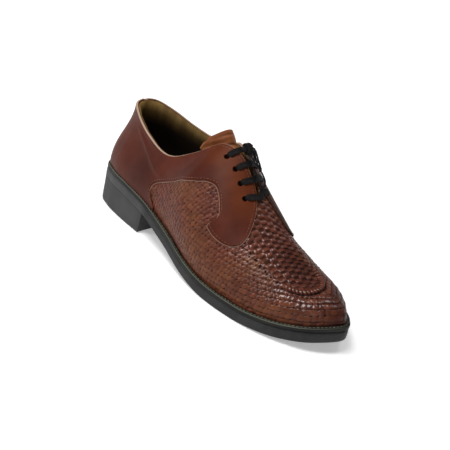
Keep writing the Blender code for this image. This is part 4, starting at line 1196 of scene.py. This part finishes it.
# Tongue
tongue = {
    "wall": 2.0, "clear": 1.2, "rise": 13.5, "lean": 37.0,
    "stations": 60, "points": 41, "headRows": 24,
    "rim": 0.6,                         # round of its edge
    "creases": (                        # place along it, height and width
        (0.30, 0.6, 0.040), (0.48, 0.8, 0.035), (0.74, 0.6, 0.026), (0.83, 0.8, 0.024), (0.935, 0.6, 0.020)),
    "trough": 0.6, "crest": 0.6,        # depth between creases as a share, and the highest crease
    # the last colour is painted shade for the troughs between creases
    "colours": ((0.160, 0.045, 0.014), (0.350, 0.122, 0.040)), "creaseShadeColour": (0.075, 0.020, 0.006),
}
tongueRows = Sections("w lateralV medialV", (
    (0.445, 0.950, 0.970), (0.490, 0.870, 0.935), (0.540, 0.800, 0.920), (0.655, 0.800, 0.920),
))
tongueHead = Sections("rise lateralOut lateralBack lateralDrop medialOut medialBack medialDrop", (
    # above the facings: where the rolled side edges lie from the middle
    (0.30, 14.1, 19.4, 15.2, 8.2, 2.0, 3.2),
    (0.66, 15.0, 12.4, 11.5, 8.2, 2.6, 3.0),
    (1.00, 13.0, 7.6, 9.4, 6.8, 3.2, 2.0),
))


def tongueLine(w):
    # one row across the throat, under both facings
    lift = -(weave["wall"] + tongue["clear"])
    left = skin(lateral, w, np.linspace(tongueRows.read("lateralV", w), 1.0, 4), lift)
    right = skin(medial, w, np.linspace(tongueRows.read("medialV", w), 1.0, 4), lift)
    if w >= lastForm["throat"]:
        right = right[:-1]
    return smoothRoute(np.concatenate([left, right[::-1]]), tongue["points"])


def tongueRise(top):
    # rows above the facings, from the plain throat row into the rolled head
    lean = math.radians(tongue["lean"])
    up = np.array((-math.sin(lean), 0.0, math.cos(lean)))
    across = np.linspace(-1.0, 1.0, tongue["points"])
    middle = top[tongue["points"] // 2]
    firstRise = tongueHead.rows[0, 0]

    def headRow(rise):
        out, back, drop = [
            np.where(across < 0, *[tongueHead.read(name + part, rise) for name in ("lateral", "medial")])
            for part in ("Out", "Back", "Drop")]
        bowed = np.stack([-back * across**2, out * across, -drop * across**2], -1)
        return middle + up * tongue["rise"] * rise + bowed

    rows = []
    for rise in np.linspace(0.0, 1.0, tongue["headRows"] + 1)[1:]:
        part = min(rise / firstRise, 1.0)
        rows.append(top * (1 - part) + headRow(max(rise, firstRise)) * part)
    return rows


def makeTongue(paint):
    stations = np.linspace(tongueRows.rows[-1, 0], tongueRows.rows[0, 0], tongue["stations"])
    rows = [tongueLine(w) for w in stations]
    outer = np.array(rows + tongueRise(rows[-1]))
    n, m = outer.shape[:2]
    middle = m // 2
    normal = unit(np.cross(np.gradient(outer, axis=1), np.gradient(outer, axis=0)))
    inner = outer - tongue["wall"] * normal
    # creases across the tongue: soft ridges between troughs
    run = lengthAlong(outer[:, middle])
    wave = np.zeros(n)
    for place, height, wide in tongue["creases"]:
        share = run / run[-1] - place
        wave += height * (bell(share, wide) - tongue["trough"] * bell(share - wide, wide))
    bow = 1 - np.abs((np.arange(m) - middle) / middle)**3
    outer = outer + normal * (np.minimum(wave, tongue["crest"])[:, None] * bow)[..., None]
    r, c = rimOrder(n, m)
    centre = (outer[r, c] + inner[r, c]) / 2
    inside = (np.clip(r, 2, n - 3), np.clip(c, 2, m - 3))
    toward = unit(centre - (outer[inside] + inner[inside]) / 2)
    points, faces = shell(outer, inner, [centre + tongue["rim"] * toward], r, c)
    # painted shade in the troughs between the creases
    fold = np.zeros(len(points))
    fold[:n * m] = (np.clip(-wave / 0.5, 0, 1)[:, None] * bow).ravel()
    return addPiece("creasedTongue", points, faces, [paint], None, {"fold": fold})


def tongueLook(tone):
    cloud = tone.noise(45.0, 4.0)
    colour = cloud.between(0.3, 0.75).mix(*tongue["colours"])
    # painted shade in the troughs
    colour = tone.attribute("fold").between(0.05, 0.7).mix(colour, tongue["creaseShadeColour"])
    height = tone.grain(900.0).between(0.0, 0.3) * 0.5 + tone.noise(260.0) * 0.5
    return {"Base Color": colour, "Roughness": 0.42 + 0.2 * cloud, "Normal": tone.bump(height, 0.25, 0.0004)}


tongueLeather = makeMaterial("tongueLeather", 0.2, tongueLook)
finishPiece(makeTongue(tongueLeather), "tongue_leather", "tongue")

# Flat laces
lace = {
    "width": 5.4, "thick": 1.5,
    "lift": 0.5,                        # bar over the facing
    "step": 0.8,                        # rings along a lace, mm
    "inHole": 0.55, "holeReach": (2.5, 7.0),       # its width where it folds through a hole
    "cordWidth": 4.2,                   # in the bow
    "tag": 2.0, "tagLong": 11.0, "tagTaper": 2.0,  # bound tip of a free end
    "sides": 16, "flatness": (0.6, 0.75),          # of its section, across and up
    "sharp": 60,                        # degrees from which its edges look sharp
    "colours": ((0.003, 0.002, 0.002), (0.012, 0.009, 0.009)),
}


def ribbon(route, wideDirection, width, thick):
    # a flat lace along a route; wideDirection turns it, for all points or one vector a point
    along = unit(np.gradient(route, axis=0))
    wide = wideDirection - along * np.sum(wideDirection * along, axis=1, keepdims=True)
    wide = unit(wide)
    up = np.cross(along, wide)
    turns = np.arange(lace["sides"]) * 2 * math.pi / lace["sides"]
    across, high = [np.sign(wave) * np.abs(wave)**power
                    for wave, power in zip((np.cos(turns), np.sin(turns)), lace["flatness"])]
    width = np.broadcast_to(np.asarray(width, float), (len(route),))
    rings = route[:, None] + wide[:, None] * (width[:, None] / 2 * across)[..., None]
    rings = rings + up[:, None] * (thick / 2 * high)[None, :, None]
    n, m = rings.shape[:2]
    number = gridNumber(n, m)
    faces = quads(number, True) + number[[0, -1]].tolist()
    uv = np.stack([np.repeat(lengthAlong(route) / lace["width"], m), np.tile(across * 0.5 + 0.5, n)], -1)
    return rings.reshape(-1, 3), faces, uv


def laceLook(tone):
    along = tone.node("ShaderNodeSeparateXYZ", {}, {0: tone.node("ShaderNodeUVMap", {"uv_map": "UVMap"})})
    vee = tone.math("ABSOLUTE", along.output("Y") - 0.5)
    braid = tone.math("SINE", (along * 5.0 + vee * 4.0) * 6.2832)
    cloud = tone.noise(120.0)
    colour = (braid * 0.3 + cloud).between(0.2, 1.0).mix(*lace["colours"])
    return {"Base Color": colour, "Roughness": 0.45 + 0.2 * cloud, "Normal": tone.bump(braid, 0.5, 0.0003)}


laceCotton = makeMaterial("laceCotton", 0.15, laceLook)


def laceRoute(points):
    return smoothRoute(points, int(lengthAlong(np.array(points, float))[-1] / lace["step"]) + 1)


def makeBar(number):
    # up through the lateral hole, over the throat and down through the medial one
    top = quarter["clear"] + quarter["wall"] + lace["lift"] + lace["thick"] / 2
    (lw, lv), (mw, mv) = eyelets[lateral][number], eyelets[medial][number]
    stations = (
        (lateral, lw, lv + 0.008, -3.6), (lateral, lw, lv + 0.011, -0.6),
        (lateral, lw, lv + 0.028, top - 0.4), (lateral, lw, (lv + 1.02) / 2, top), (lateral, lw, 0.998, top),
        (medial, mw, 0.998, top), (medial, mw, (mv + 1) / 2, top),
        (medial, mw, mv + 0.012, top - 0.4), (medial, mw, mv, -0.6), (medial, mw, mv, -3.6))
    route = laceRoute([skin(*station) for station in stations])
    run = lengthAlong(route)
    reach = np.minimum(run, run[-1] - run)
    width = lace["width"] * (lace["inHole"] + (1 - lace["inHole"]) * ramp(reach, *lace["holeReach"]))
    ahead = surface(lateral, lw + 0.01, 1.0) - surface(lateral, lw - 0.01, 1.0)
    points, faces, uv = ribbon(route, ahead, width, lace["thick"])
    return addPiece(f"laceBar{number + 1}", points, faces, [laceCotton], uv=uv, sharp=lace["sharp"])


for number in range(4):
    finishPiece(makeBar(number), "lace_cotton", f"lace_bar_{number + 1}")

# The bow: routes as in the frame's own cords
bow = {
    "loopLong": {"node": "lace_loop_long", "farEnd": "object", "wide": (0.61, -0.67, 0.42), "route": (
        (151.4, -1.8, 108.8), (156.0, -1.2, 105.6), (160.5, 0.8, 101.7), (165.5, 3.0, 97.2),
        (169.5, 3.5, 92.7),
        (171.5, 2.2, 89.0), (169.0, 0.2, 89.8), (165.0, -1.3, 94.8), (160.5, -2.3, 99.1))},
    "loopShort": {"node": "lace_loop_short", "farEnd": "object", "wide": (0.61, -0.67, 0.42), "route": (
        (149.6, 5.0, 110.4), (152.4, 4.4, 108.6), (155.4, 4.3, 105.4), (158.4, 5.0, 101.4),
        (158.8, 6.2, 98.0),
        (155.5, 6.8, 98.9), (151.5, 7.2, 102.1), (147.0, 7.9, 105.5))},
    "endUpper": {"node": "lace_end_upper", "farEnd": "bare", "wide": (1.0, 0.0, 0.2), "route": (
        (141.0, 6.2, 112.2), (136.5, 9.8, 109.6), (132.5, 14.5, 105.8), (129.5, 19.5, 100.7),
        (127.8, 24.5, 94.2),
        (126.8, 28.6, 88.4))},
    "endLower": {"node": "lace_end_lower", "farEnd": "bare", "wide": (1.0, 0.0, 0.2), "route": (
        (143.3, 7.4, 109.8), (139.6, 11.8, 107.6), (136.0, 17.0, 103.8), (133.2, 22.0, 98.2),
        (131.2, 26.5, 91.4),
        (130.0, 30.2, 85.4))},
}


def makeCord(name, part):
    route = laceRoute(part["route"])
    cordWidth = lace["cordWidth"]
    width = np.full(len(route), cordWidth)
    if part["farEnd"] == "bare":
        run = lengthAlong(route)
        tagFrom = run[-1] - lace["tagLong"]
        width += (lace["tag"] - cordWidth) * ramp(run, tagFrom - lace["tagTaper"], tagFrom)
    points, faces, uv = ribbon(route, np.array(part["wide"]), width, lace["thick"])
    made = addPiece(name, points, faces, [laceCotton], uv=uv, sharp=lace["sharp"])
    finishPiece(made, "lace_cotton", part["node"])


knot = {
    "centre": (145.4, -0.3, 110.9), "size": (9.4, 12.0, 7.4), "tilt": 35.0,
    "core": 0.82, "wraps": 1.8, "spread": 3.8, "wrapWidth": 3.6,
    "around": 32, "along": 25, "wrapSteps": 72,
}


def makeKnot():
    # a rounded core, wrapped by nearly two turns of lace
    turn = math.radians(knot["tilt"])
    axes = np.array(((math.cos(turn), 0, -math.sin(turn)), (0, 1, 0), (math.sin(turn), 0, math.cos(turn))))
    half = np.array(knot["size"]) / 2
    centre = np.array(knot["centre"])
    n, m = knot["along"], knot["around"]
    around = np.linspace(0, 2 * math.pi, m, endpoint=False)[None, :]
    along = np.linspace(-1.0, 1.0, n)[:, None]
    radius = np.sqrt(1 - along**2)**0.8 * knot["core"]
    core = np.stack([radius * np.cos(around), along + 0 * around, radius * np.sin(around)], -1) * half
    uv = np.stack([np.tile(np.arange(m) / m * 6, n), np.repeat(along[:, 0] * 0.5 + 0.5, m)], -1)
    winding = np.linspace(0, 2 * math.pi * knot["wraps"], knot["wrapSteps"])
    sideways = np.linspace(-0.5, 0.5, knot["wrapSteps"]) * knot["spread"]
    wrap = np.stack([np.cos(winding) * half[0], sideways, np.sin(winding) * half[2]], -1)
    points, faces, wrapUv = ribbon(centre + wrap @ axes, axes[1], knot["wrapWidth"], lace["thick"])
    faces = quads(gridNumber(n, m), True) + [[number + n * m for number in face] for face in faces]
    points = np.concatenate([centre + core.reshape(-1, 3) @ axes, points])
    return addPiece("laceKnot", points, faces, [laceCotton], uv=np.concatenate([uv, wrapUv]))


laceKnot = finishPiece(makeKnot(), "lace_cotton", "lace_knot")
for name, part in bow.items():
    makeCord(name, part)

# Stage and light
stage = {
    "floor": (0.93, 0.93, 0.93), "floorSize": 30.0,
    "glow": (0.35, 0.60), "glowReach": (0.35, 0.90),       # near the shoe and far from it, in metres
    "world": 0.10,
    "lights": (
        # place in metres about the shoe, size, power
        ("topBox", (0.0, -0.60, 1.42), 0.65, 14.0),
        ("backTopBox", (0.22, 0.52, 1.5), 0.4, 3.0),
        ("keyBox", (-0.7, -1.5, 1.0), 0.8, 11.0),
        ("fillBox", (1.5, -0.9, 0.8), 0.9, 2.5),
        ("rimBox", (0.2, 1.7, 1.3), 1.0, 3.0),
        ("heelBox", (-1.6, -0.35, 0.40), 0.6, 2.5),
    ),
}


def floorLook(tone):
    # brighter far from the shoe, so that the ground stays white
    reach = tone.node("ShaderNodeVectorMath", {"operation": "LENGTH"}, {0: tone.place()}, 1)
    near, far = stage["glow"]
    return {"Emission Color": reach.between(*stage["glowReach"]).mix((near / far,) * 3, (1.0, 1.0, 1.0))}


def makeStage():
    half = stage["floorSize"] / 2
    data = bpy.data.meshes.new("floor")
    corners = [(-half, -half, 0), (half, -half, 0), (half, half, 0), (-half, half, 0)]
    data.from_pydata(corners, [], [(0, 1, 2, 3)])
    data.materials.append(makeMaterial("paleFloor", 0.1, floorLook, {
        "Base Color": (*stage["floor"], 1.0), "Roughness": 0.8, "Emission Strength": stage["glow"][1]}))
    addObject("floor", data)
    world = bpy.data.worlds.new("studio")
    world.use_nodes = True
    background = world.node_tree.nodes["Background"]
    background.inputs["Color"].default_value = (1.0, 1.0, 1.0, 1.0)
    background.inputs["Strength"].default_value = stage["world"]
    bpy.context.scene.world = world
    for name, place, size, power in stage["lights"]:
        light = bpy.data.lights.new(name, "AREA")
        light.size = size
        light.energy = power
        made = addObject(name, light)
        made.location = place
        made.rotation_euler = (-Vector(place)).to_track_quat("-Z", "Y").to_euler()
    bpy.context.scene.view_settings.view_transform = "Standard"


makeStage()

bpy.context.view_layer.update()
